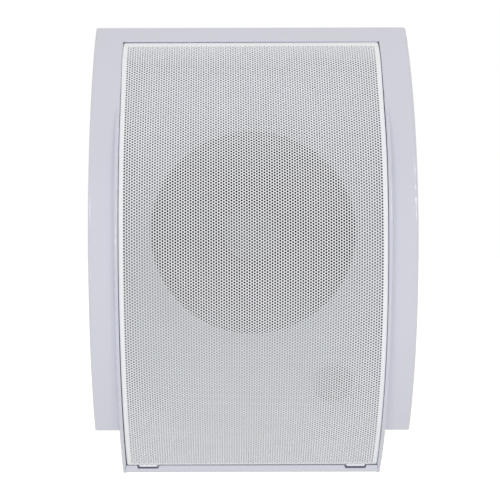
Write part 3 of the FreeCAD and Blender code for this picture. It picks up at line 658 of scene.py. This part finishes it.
def rounded_corner(first, corner, last, radius, count):
    """A path of (y, z) points from first to last, its corner rounded by an arc that touches both runs.

    The arc's middle lies radius / sin(half the corner's angle) from the corner, on the line that halves it.
    """
    before = (first - corner) / np.linalg.norm(first - corner)
    after = (last - corner) / np.linalg.norm(last - corner)
    half = math.acos(np.clip(before @ after, -1, 1)) / 2
    middle = corner + (before + after) / np.linalg.norm(before + after) * radius / math.sin(half)
    run = radius / math.tan(half)
    top = middle + (corner - middle) / np.linalg.norm(corner - middle) * radius
    arc = arc_through(corner + run * before, top, corner + run * after, count)
    out = np.linspace(corner + run * after, last, count)[1:]
    return np.concatenate([[first], arc, out])


class SPEAKER_OT_contact_springs(bpy.types.Operator):
    """Build the two sprung contacts, which flex between their levers and the terminal cup"""

    bl_idname = "speaker.contact_springs"
    bl_label = "Contact springs"

    def execute(self, context):
        for sign in ("positive", "negative"):
            low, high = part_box(sign + "_contact")
            x = (low.x + high.x) / 2
            floor = low.y + TAIL_LENGTH + SPRING_SHEET / 2
            foot = np.array([floor, high.z])
            corner = np.array([floor, low.z + SPRING_SHEET / 2])
            tip = np.array([high.y - SPRING_SHEET / 2, self.tip_height(sign)])
            path = rounded_corner(foot, corner, tip, SPRING_BEND, SPRING_STEPS)
            leaf = ribbon(path, x, SPRING_WIDTH, SPRING_SHEET)
            tail_z = high.z - SPRING_SHEET / 2
            tail_line = np.array([[low.y, tail_z], [floor, tail_z]])
            tail = ribbon(tail_line, x, TAIL_WIDTH, SPRING_SHEET)
            piece = add_piece(sign + "_spring", *together([leaf, tail]), "brass", sign + "_contact")
            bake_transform(piece)
        return {"FINISHED"}

    def tip_height(self, sign):
        """The height at which the CAD spring reaches furthest out."""
        points = cad_points(sign + "_contact")
        return float(points[np.argmax(points[:, 1]), 2])


# Screws
SHANK_RADIUS = {"cover_screws": 0.0015, "terminal_screws": 0.0012}
HEAD_SIDES = 96
HEAD_RINGS = np.linspace(0.01, 1, 28)

# What tells a head's rim from other points, and one head from the next
RIM_DEPTH = 1e-5
HEAD_REACH = 0.012

# The cross recess, as shares of the head's radius
CROSS_REACH = 0.62
CROSS_WIDTH = 0.16
CROSS_DEPTH = 0.35
CROSS_SIDE = 0.05
CROSS_END = 0.08


def cross_screw(x, z, sink, head_radius, shank_radius, tip_y):
    """The skin of a countersunk screw with a cross recess, driven in along -Y.

    The head's top is a disc in rings. A point is pressed in by the larger of two smooth bars at right
    angles, each the product of a step in its width, a step in its length and a fall to half at its ends.
    """
    turn = np.linspace(0, 2 * np.pi, HEAD_SIDES, endpoint=False)[None]
    ring = HEAD_RINGS[:, None]
    u, v = ring * np.cos(turn), ring * np.sin(turn)

    def bar(width, reach):
        across = np.clip((CROSS_WIDTH - np.abs(width)) / CROSS_SIDE, 0, 1)
        along = np.clip((CROSS_REACH - np.abs(reach)) / CROSS_END, 0, 1)
        return across * along * (1 - np.abs(reach) / CROSS_REACH / 2)

    pressed = np.maximum(bar(u, v), bar(v, u))
    y = -sink - CROSS_DEPTH * head_radius * pressed
    top = np.stack([x + head_radius * u, y, z + head_radius * v], axis=-1)
    lower = np.array([[shank_radius, -sink - head_radius + shank_radius], [shank_radius, tip_y]])
    radius, level = lower[:, 0][:, None], lower[:, 1][:, None]
    shank = np.broadcast_arrays(x + radius * np.cos(turn), level, z + radius * np.sin(turn))
    return skin(np.concatenate([top, np.stack(shank, axis=-1)]))


class SPEAKER_OT_screws(bpy.types.Operator):
    """Build the cross-head screws of the rear cover and the terminal"""

    bl_idname = "speaker.screws"
    bl_label = "Screws"

    def execute(self, context):
        for name, shank in SHANK_RADIUS.items():
            places, head, sink, tip = self.places(name)
            skins = [cross_screw(x, z, sink, head, shank, tip) for x, z in places]
            piece = add_piece(name + "_cross", *together(skins), "zinc_steel", name)
            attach(piece, "cabinet")
        return {"FINISHED"}

    def places(self, name):
        """Where a node's screws stand, their head radius, how far they are sunk and how deep they go.

        A screw's points are those near one place: the rim of each head gives its middle and its radius.
        """
        points = cad_points(name)
        rim = points[points[:, 1] > points[:, 1].max() - RIM_DEPTH][:, [0, 2]]
        found = []
        while len(rim):
            near = np.linalg.norm(rim - rim[0], axis=1) < HEAD_REACH
            found.append((rim[near].min(0) + rim[near].max(0)) / 2)
            head = (rim[near].max(0) - rim[near].min(0))[0] / 2
            rim = rim[~near]
        return found, head, -points[:, 1].max(), points[:, 1].min()


# Shader nodes
def node(tree, kind, inputs=None, **settings):
    """A new shader node with its settings, its inputs given as values or as the sockets that feed them."""
    made = tree.nodes.new("ShaderNode" + kind)
    for name, value in settings.items():
        setattr(made, name, value)
    for name, value in (inputs or {}).items():
        if isinstance(value, bpy.types.NodeSocket):
            tree.links.new(value, made.inputs[name])
        else:
            made.inputs[name].default_value = value
    return made


def maths(tree, operation, *values):
    """The result of one operation on numbers or sockets."""
    return node(tree, "Math", dict(enumerate(values)), operation=operation).outputs["Value"]


def mixed(tree, factor, first, second):
    """The mix of two colours by a factor."""
    return node(tree, "Mix", {"Factor": factor, "A": first, "B": second}, data_type="RGBA").outputs["Result"]


def ranged(tree, value, span, result, way="LINEAR"):
    """A value carried from one span to another: low end to first result, high end to second."""
    ends = {"From Min": span[0], "From Max": span[1], "To Min": result[0], "To Max": result[1]}
    return node(tree, "MapRange", {"Value": value, **ends}, interpolation_type=way).outputs["Result"]


def with_alpha(rgb):
    """A colour as the four numbers that a socket takes."""
    return (*rgb, 1.0)


# Shared effects
NOISE_SPAN = (0.3, 0.7)


def noise(tree, given, scale, detail, roughness):
    """Soft noise in a group, on its vector and one of its scales."""
    inputs = {"Vector": given["Vector"], "Scale": given[scale], "Detail": detail, "Roughness": roughness}
    return node(tree, "TexNoise", inputs).outputs["Fac"]


def uneven_tone(tree, given):
    """Mixes a base colour towards a shade by broad soft noise."""
    share = ranged(tree, noise(tree, given, "Scale", 5, 0.6), NOISE_SPAN, (0, given["Amount"]))
    return mixed(tree, share, given["Base"], given["Shade"])


def uneven_gloss(tree, given):
    """A roughness that drifts between two values by soft noise."""
    return ranged(tree, noise(tree, given, "Scale", 6, 0.65), NOISE_SPAN, (given["Low"], given["High"]))


def grain(tree, given):
    """A height from coarse and fine noise, for moulded, painted, pressed and cast surfaces."""
    coarse = noise(tree, given, "Coarse", 2, 0.5)
    fine = noise(tree, given, "Fine", 3, 0.6)
    return node(tree, "Mix", {"Factor": given["Fine share"], "A": coarse, "B": fine}).outputs["Result"]


def specks(tree, given):
    """A mask of small scattered specks, for lint and dust."""
    cells = node(tree, "TexVoronoi", {"Vector": given["Vector"], "Scale": given["Scale"]})
    return ranged(tree, cells.outputs["Distance"], (0, given["Size"]), (1, 0), "SMOOTHSTEP")


def new_group(fill, output, values):
    """A node group with a vector, an input for each value and one output, filled by one of the effects."""
    group = bpy.data.node_groups.new(fill.__name__, "ShaderNodeTree")
    group.interface.new_socket("Vector", in_out="INPUT", socket_type="NodeSocketVector")
    for label, value in values.items():
        kind = "NodeSocketColor" if isinstance(value, tuple) else "NodeSocketFloat"
        group.interface.new_socket(label, in_out="INPUT", socket_type=kind)
    kind = "NodeSocketColor" if output == "Color" else "NodeSocketFloat"
    group.interface.new_socket(output, in_out="OUTPUT", socket_type=kind)
    entry, leave = group.nodes.new("NodeGroupInput"), group.nodes.new("NodeGroupOutput")
    group.links.new(fill(group, entry.outputs), leave.inputs[output])
    return group


def effect(tree, fill, output, vector, **values):
    """A shared effect in a material, on a vector and with the material's own values.

    Its group is made when the first material asks for it.
    """
    values = {name.replace("_", " ").capitalize(): value for name, value in values.items()}
    group = bpy.data.node_groups.get(fill.__name__) or new_group(fill, output, values)
    return node(tree, "Group", {"Vector": vector, **values}, node_tree=group).outputs[output]


# Finishes
def shaded(rgb, share):
    """A darker or lighter neighbour of a colour."""
    return tuple(min(1.0, value * share) for value in rgb)


def surface(label, rgb, shade, tone, gloss, bump, metallic=0.0, stretch=(1, 1, 1), tint=None, relief=None):
    """A Principled material with uneven colour and gloss and a grained surface.

    shade is a second colour, or a share of the first one. tone is (scale, amount), gloss is (scale, low,
    high) and bump is (coarse, fine, fine share, depth). tint and relief change the colour and the normal:
    each gets the material's nodes, the Object coordinates and the socket that it changes.
    """
    material = bpy.data.materials.new(label)
    material.use_nodes = True
    tree = material.node_tree
    place = node(tree, "TexCoord").outputs["Object"]
    vector = node(tree, "Mapping", {"Vector": place, "Scale": stretch}).outputs["Vector"]
    second = shade if isinstance(shade, tuple) else shaded(rgb, shade)
    paint = effect(
        tree, uneven_tone, "Color", vector,
        base=with_alpha(rgb), shade=with_alpha(second), scale=tone[0], amount=tone[1],
    )
    dull = effect(tree, uneven_gloss, "Roughness", vector, scale=gloss[0], low=gloss[1], high=gloss[2])
    height = effect(tree, grain, "Height", vector, coarse=bump[0], fine=bump[1], fine_share=bump[2])
    normal = node(tree, "Bump", {"Height": height, "Distance": bump[3]}).outputs["Normal"]
    inputs = tree.nodes["Principled BSDF"].inputs
    inputs["Metallic"].default_value = metallic
    tree.links.new(tint(tree, place, paint) if tint else paint, inputs["Base Color"])
    tree.links.new(dull, inputs["Roughness"])
    tree.links.new(relief(tree, place, normal) if relief else normal, inputs["Normal"])
    return material


# Where the painted shade of the recess stops: a margin inside the grille's edge, and the heights over which
# it fades out towards the top
RECESS_EDGE = 0.0008
PAINTED_SHADE_FADE = (0.070, 0.135)


def painted_recess_shade(tree, place, paint):
    """The front's colour with painted shade inside the recess box behind the grille, less towards its top.
    """
    middle = (GRILLE_HIGH.z + GRILLE_LOW.z) / 2
    axis = node(tree, "SeparateXYZ", {"Vector": place}).outputs
    across = maths(tree, "COMPARE", axis["X"], 0, GRILLE_HIGH.x - RECESS_EDGE)
    upright = maths(tree, "COMPARE", axis["Z"], middle, GRILLE_HIGH.z - middle - RECESS_EDGE)
    inside = maths(tree, "MULTIPLY", across, upright)
    share = ranged(tree, axis["Z"], PAINTED_SHADE_FADE, (inside, 0), "SMOOTHSTEP")
    # Painted shade: the front's colour mixed towards a darker one inside the recess, less where light from
    # above would reach
    return mixed(tree, share, paint, with_alpha(bpy.context.scene.speaker_colours.painted_shade_colour))


def lint(rgb, scale, size, amount):
    """A change of colour that scatters small pale specks."""
    def tint(tree, place, paint):
        mask = effect(tree, specks, "Mask", place, scale=scale, size=size)
        return mixed(tree, maths(tree, "MULTIPLY", mask, amount), paint, with_alpha(rgb))
    return tint


WIRE_SPACING = 0.00025
WIRE_RELIEF = 0.00008


def wire_turns(tree, place, normal):
    """Round ridges along Y over a relief, one for each turn of the wire."""
    inputs = {"Vector": place, "Scale": math.pi / 10 / WIRE_SPACING}
    wave = node(tree, "TexWave", inputs, bands_direction="Y").outputs["Fac"]
    inputs = {"Height": wave, "Distance": WIRE_RELIEF, "Normal": normal}
    return node(tree, "Bump", inputs).outputs["Normal"]


THREAD_SCALE = 420
THREAD_WANDER = 0.6
THREAD_RELIEF = 0.00015


def plain_weave(tree, place, normal):
    """Two crossed sets of threads over a relief: the higher of a wave along X and a wave along Z."""
    inputs = {"Vector": place, "Scale": THREAD_SCALE, "Distortion": THREAD_WANDER}
    waves = [node(tree, "TexWave", inputs, bands_direction=way).outputs["Fac"] for way in ("X", "Z")]
    inputs = {"Height": maths(tree, "MAXIMUM", *waves), "Distance": THREAD_RELIEF, "Normal": normal}
    return node(tree, "Bump", inputs).outputs["Normal"]


def looks():
    """What surface() is given for each slot."""
    chosen = bpy.context.scene.speaker_colours
    lever = {"tone": (90, 0.8), "gloss": (180, 0.22, 0.36), "bump": (500, 2000, 0.3, 0.00003)}
    wire = {"tone": (120, 0.8), "gloss": (200, 0.36, 0.5), "bump": (700, 2400, 0.4, 0.00003)}
    return {
        # Glossy moulding with a faint flow in its colour and a skin that isn't quite flat, and painted shade
        # in the recess behind the grille
        "white_plastic": {
            "rgb": chosen.front_plastic, "shade": 0.965, "tone": (9, 0.8),
            "gloss": (40, 0.13, 0.19), "bump": (160, 900, 0.25, 0.00003), "tint": painted_recess_shade,
        },
        # Spark-textured moulding: an even, fine matt grain
        "white_plastic_rear": {
            "rgb": chosen.rear_plastic, "shade": 0.94, "tone": (25, 0.9),
            "gloss": (80, 0.42, 0.55), "bump": (900, 2600, 0.5, 0.00012),
        },
        # Baked paint on steel, with a little orange peel
        "white_paint": {
            "rgb": chosen.grille_paint, "shade": 0.96, "tone": (30, 0.7),
            "gloss": (120, 0.20, 0.28), "bump": (700, 2200, 0.3, 0.00003),
        },
        # Zinc-plated steel with cloudy passivation
        "zinc_steel": {
            "rgb": srgb(186, 190, 196), "shade": srgb(196, 188, 160), "tone": (220, 0.8),
            "gloss": (500, 0.22, 0.42), "bump": (1500, 5000, 0.5, 0.00002), "metallic": 1.0,
        },
        # Phosphated steel, nearly black, with a dry surface
        "black_steel": {
            "rgb": srgb(58, 58, 62), "shade": 0.7, "tone": (90, 0.9),
            "gloss": (200, 0.40, 0.58), "bump": (900, 3000, 0.5, 0.00004), "metallic": 0.8,
        },
        # Open-cell gasket foam
        "black_foam": {
            "rgb": srgb(38, 38, 40), "shade": 0.4, "tone": (1200, 1.0),
            "gloss": (300, 0.92, 1.0), "bump": (1400, 4200, 0.4, 0.0003),
        },
        # Moulded rubber with a dry bloom and lint
        "black_rubber": {
            "rgb": chosen.rubber, "shade": 1.7, "tone": (60, 0.8),
            "gloss": (150, 0.48, 0.68), "bump": (900, 3200, 0.5, 0.00004),
            "tint": lint(srgb(120, 120, 120), 260, 0.10, 0.35),
        },
        # Semi-gloss enamel on pressed steel
        "black_paint": {
            "rgb": srgb(30, 30, 32), "shade": 1.5, "tone": (70, 0.7),
            "gloss": (160, 0.30, 0.46), "bump": (600, 2000, 0.4, 0.00005),
        },
        # Pressed paper: fibres of two greys and a rough face
        "black_paper": {
            "rgb": chosen.cone_paper, "shade": 1.8, "tone": (420, 0.9),
            "gloss": (260, 0.62, 0.85), "bump": (700, 2600, 0.45, 0.00018),
            "tint": lint(srgb(150, 146, 140), 340, 0.09, 0.4),
        },
        # Doped cloth of the dust cap, smoother than the cone; its paler colour is partly a painted highlight
        # on the dome
        "black_cap": {
            "rgb": srgb(102, 102, 116), "shade": 1.6, "tone": (240, 0.8),
            "gloss": (220, 0.34, 0.52), "bump": (1100, 3600, 0.5, 0.00008),
        },
        # Rolled foil, streaked round the coil's axis
        "aluminium": {
            "rgb": srgb(205, 207, 210), "shade": 0.8, "tone": (60, 0.9), "gloss": (90, 0.22, 0.40),
            "bump": (300, 1400, 0.5, 0.00003), "metallic": 1.0, "stretch": (0.3, 6, 0.3),
        },
        # Enamelled copper wire in close turns
        "copper": {
            "rgb": srgb(176, 98, 54), "shade": 0.7, "tone": (300, 0.9), "gloss": (300, 0.20, 0.34),
            "bump": (600, 2000, 0.4, 0.00002), "metallic": 1.0, "relief": wire_turns,
        },
        # Plain weave dipped in resin
        "tan_cloth": {
            "rgb": chosen.spider_cloth, "shade": 0.62, "tone": (180, 0.9),
            "gloss": (240, 0.55, 0.80), "bump": (900, 2600, 0.4, 0.00006), "relief": plain_weave,
        },
        # Sintered ferrite: dark, dry and faintly ground
        "ferrite": {
            "rgb": srgb(70, 68, 70), "shade": 0.6, "tone": (140, 0.9),
            "gloss": (300, 0.50, 0.72), "bump": (1000, 3000, 0.5, 0.00006),
        },
        # Laminated paper board with a fibrous cut
        "brown_board": {
            "rgb": srgb(122, 82, 48), "shade": 0.6, "tone": (300, 0.9),
            "gloss": (260, 0.42, 0.62), "bump": (800, 2600, 0.5, 0.00006),
        },
        # Sprung brass, lightly tarnished
        "brass": {
            "rgb": srgb(206, 174, 104), "shade": srgb(158, 118, 66), "tone": (240, 0.7),
            "gloss": (320, 0.20, 0.38), "bump": (900, 3200, 0.5, 0.00002), "metallic": 1.0,
        },
        # Tinned braid: bright and dark strands close together
        "tinsel": {
            "rgb": srgb(190, 186, 178), "shade": srgb(110, 100, 90), "tone": (2600, 1.0),
            "gloss": (1800, 0.25, 0.5), "bump": (2400, 6000, 0.5, 0.0002), "metallic": 1.0,
        },
        # Satin black moulding of the terminal cup
        "black_plastic": {
            "rgb": srgb(32, 32, 34), "shade": 1.35, "tone": (60, 0.8),
            "gloss": (140, 0.34, 0.48), "bump": (800, 2600, 0.4, 0.00005),
        },
        # Glossier mouldings of the two levers, and the soft insulation of the two inner leads
        "dark_plastic": {"rgb": chosen.negative, "shade": 1.4, **lever},
        "red_plastic": {"rgb": chosen.positive, "shade": 0.82, **lever},
        "red_wire": {"rgb": srgb(166, 30, 28), "shade": 0.78, **wire},
        "black_wire": {"rgb": srgb(30, 30, 31), "shade": 1.5, **wire},
    }


def finish(slot):
    """The material of one of the record's slots, made when it is first asked for."""
    label = slot + ".finish"
    return bpy.data.materials.get(label) or surface(label, **looks()[slot])


class SPEAKER_OT_finishes(bpy.types.Operator):
    """Give each CAD node that shows the finish of its slot"""

    bl_idname = "speaker.finishes"
    bl_label = "Finishes"

    def execute(self, context):
        known = looks()
        for name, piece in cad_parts.items():
            for holder in piece.material_slots:
                slot = holder.material.name
                if slot not in known:
                    raise RuntimeError(name + " wears " + slot + ", which has no finish here")
                holder.material = finish(slot)
        return {"FINISHED"}


# Stage
WHITE = (1, 1, 1)
LIGHT_BELOW = (0.96, 0.985, 1.03)
LIGHT_ABOVE = (1.11, 1.03, 0.86)
FRONT_LAMP = (0, -1.5, 0.1)
FRONT_LAMP_SIZE = 1.0
LOW_LAMP = (0, -0.75, CAD_BOX[0][2] - 0.28)
LOW_LAMP_TARGET = (0, -0.74, 0)
LOW_LAMP_SIZE = 1.2
SIDE_LAMP = (1.1, -1.1, 0.30)
SIDE_LAMP_SIZE = 0.16
SENSOR_WIDTH = 36
FLOOR_RADIUS = 60
FLOOR_SIDES = 96
FLOOR_GREY = (0.82, 0.82, 0.82)
FLOOR_GLOW = (0.45, 0.45, 0.45)
FLOOR_ROUGHNESS = 0.9


def seen_directly(tree):
    """1 for rays from the camera, a mirror or glass, and 0 for the rest."""
    path = node(tree, "LightPath").outputs
    mirrored = maths(tree, "MAXIMUM", path["Is Camera Ray"], path["Is Glossy Ray"])
    return maths(tree, "MAXIMUM", mirrored, path["Is Transmission Ray"])


def floor_material():
    """A pale floor, white where nothing shades it: part of its light is for rays that see it directly."""
    material = bpy.data.materials.new("pale_floor")
    material.use_nodes = True
    tree = material.node_tree
    matt = tree.nodes["Principled BSDF"]
    matt.inputs["Base Color"].default_value = with_alpha(FLOOR_GREY)
    matt.inputs["Roughness"].default_value = FLOOR_ROUGHNESS
    glow = node(tree, "Emission", {"Color": with_alpha(FLOOR_GLOW), "Strength": seen_directly(tree)})
    total = node(tree, "AddShader", {0: matt.outputs["BSDF"], 1: glow.outputs["Emission"]})
    tree.links.new(total.outputs["Shader"], tree.nodes["Material Output"].inputs["Surface"])
    return material


def make_world(scene, sky):
    """White where it is seen, and an even light on everything else, a little warmer from above."""
    scene.world = bpy.data.worlds.new("even_sky")
    scene.world.use_nodes = True
    tree = scene.world.node_tree
    background = tree.nodes["Background"].inputs
    seen = seen_directly(tree)
    direction = node(tree, "TexCoord").outputs["Generated"]
    height = node(tree, "SeparateXYZ", {"Vector": direction}).outputs["Z"]
    share = ranged(tree, height, (-1, 1), (0, 1))
    light = mixed(tree, share, with_alpha(LIGHT_BELOW), with_alpha(LIGHT_ABOVE))
    tree.links.new(mixed(tree, seen, light, with_alpha(WHITE)), background["Color"])
    tree.links.new(ranged(tree, seen, (0, 1), (sky, 1)), background["Strength"])


def soft_lamp(name, place, target, size, power):
    """A square lamp that faces a target."""
    lamp = bpy.data.lights.new(name, "AREA")
    lamp.shape = "SQUARE"
    lamp.size = size
    lamp.energy = power
    holder = bpy.data.objects.new(name, lamp)
    holder.location = place
    holder.rotation_euler = (Vector(target) - Vector(place)).to_track_quat("-Z", "Y").to_euler()
    bpy.context.scene.collection.objects.link(holder)


class SPEAKER_OT_stage(bpy.types.Operator):
    """Set the camera, the soft lamps, the white surroundings and the pale floor"""

    bl_idname = "speaker.stage"
    bl_label = "Stage"

    def execute(self, context):
        scene, stage = context.scene, context.scene.speaker_stage
        scene.view_settings.view_transform = "Standard"
        make_world(scene, stage.sky)
        middle = (0, FRONT, 0)
        soft_lamp("front_lamp", FRONT_LAMP, middle, FRONT_LAMP_SIZE, stage.front_power)
        soft_lamp("low_lamp", LOW_LAMP, LOW_LAMP_TARGET, LOW_LAMP_SIZE, stage.low_power)
        for name, side in (("left_lamp", -1), ("right_lamp", 1)):
            place = (side * SIDE_LAMP[0], *SIDE_LAMP[1:])
            soft_lamp(name, place, middle, SIDE_LAMP_SIZE, stage.side_power)
        self.add_camera(scene, stage)
        self.add_floor(scene, stage.floor_drop)
        return {"FINISHED"}

    def add_camera(self, scene, stage):
        """A level camera that looks along +Y."""
        camera = bpy.data.cameras.new("camera")
        camera.lens = stage.lens
        camera.sensor_width = SENSOR_WIDTH
        camera.shift_x, camera.shift_y = stage.camera_shift
        holder = bpy.data.objects.new("camera", camera)
        holder.location = stage.camera_place
        holder.rotation_euler = (math.radians(90), stage.camera_roll, 0)
        scene.collection.objects.link(holder)
        scene.camera = holder

    def add_floor(self, scene, drop):
        """A round floor that reaches to where it looks like the horizon."""
        turn = np.linspace(0, 2 * np.pi, FLOOR_SIDES, endpoint=False)
        level = np.full_like(turn, CAD_BOX[0][2] - drop)
        rim = np.stack([FLOOR_RADIUS * np.cos(turn), FLOOR_RADIUS * np.sin(turn), level], axis=-1)
        mesh = bpy.data.meshes.new("floor")
        mesh.from_pydata(rim.tolist(), [], [list(range(len(turn)))])
        floor = bpy.data.objects.new("floor", mesh)
        floor.data.materials.append(floor_material())
        scene.collection.objects.link(floor)


OPERATORS = (
    SPEAKER_OT_grille,
    SPEAKER_OT_surround,
    SPEAKER_OT_spider,
    SPEAKER_OT_tinsel_leads,
    SPEAKER_OT_contact_springs,
    SPEAKER_OT_screws,
    SPEAKER_OT_finishes,
    SPEAKER_OT_stage,
)


class SPEAKER_PT_panel(bpy.types.Panel):
    """The speaker's sizes, colours and building steps"""

    bl_idname = "SPEAKER_PT_panel"
    bl_label = "Wall speaker"
    bl_space_type = "VIEW_3D"
    bl_region_type = "UI"
    bl_category = "Speaker"

    def draw(self, context):
        scene = context.scene
        for group in (scene.speaker_sizes, scene.speaker_colours, scene.speaker_stage):
            box = self.layout.box()
            for label in group.bl_rna.properties.keys():
                if label not in ("rna_type", "name"):
                    box.prop(group, label)
        for operator in OPERATORS:
            self.layout.operator(operator.bl_idname)


CLASSES = (SpeakerSizes, SpeakerColours, SpeakerStage, *OPERATORS, SPEAKER_PT_panel)


def register():
    """Add the classes and the scene's settings."""
    for item in CLASSES:
        bpy.utils.register_class(item)
    bpy.types.Scene.speaker_sizes = bpy.props.PointerProperty(type=SpeakerSizes)
    bpy.types.Scene.speaker_colours = bpy.props.PointerProperty(type=SpeakerColours)
    bpy.types.Scene.speaker_stage = bpy.props.PointerProperty(type=SpeakerStage)


def unregister():
    """Take the settings and the classes out again."""
    del bpy.types.Scene.speaker_stage
    del bpy.types.Scene.speaker_colours
    del bpy.types.Scene.speaker_sizes
    for item in reversed(CLASSES):
        bpy.utils.unregister_class(item)


def main():
    """Build everything in order."""
    register()
    bpy.ops.speaker.grille()
    bpy.ops.speaker.surround()
    bpy.ops.speaker.spider()
    bpy.ops.speaker.tinsel_leads()
    bpy.ops.speaker.contact_springs()
    bpy.ops.speaker.screws()
    bpy.ops.speaker.finishes()
    bpy.ops.speaker.stage()
    bpy.context.view_layer.update()


if __name__ == "__main__":
    main()
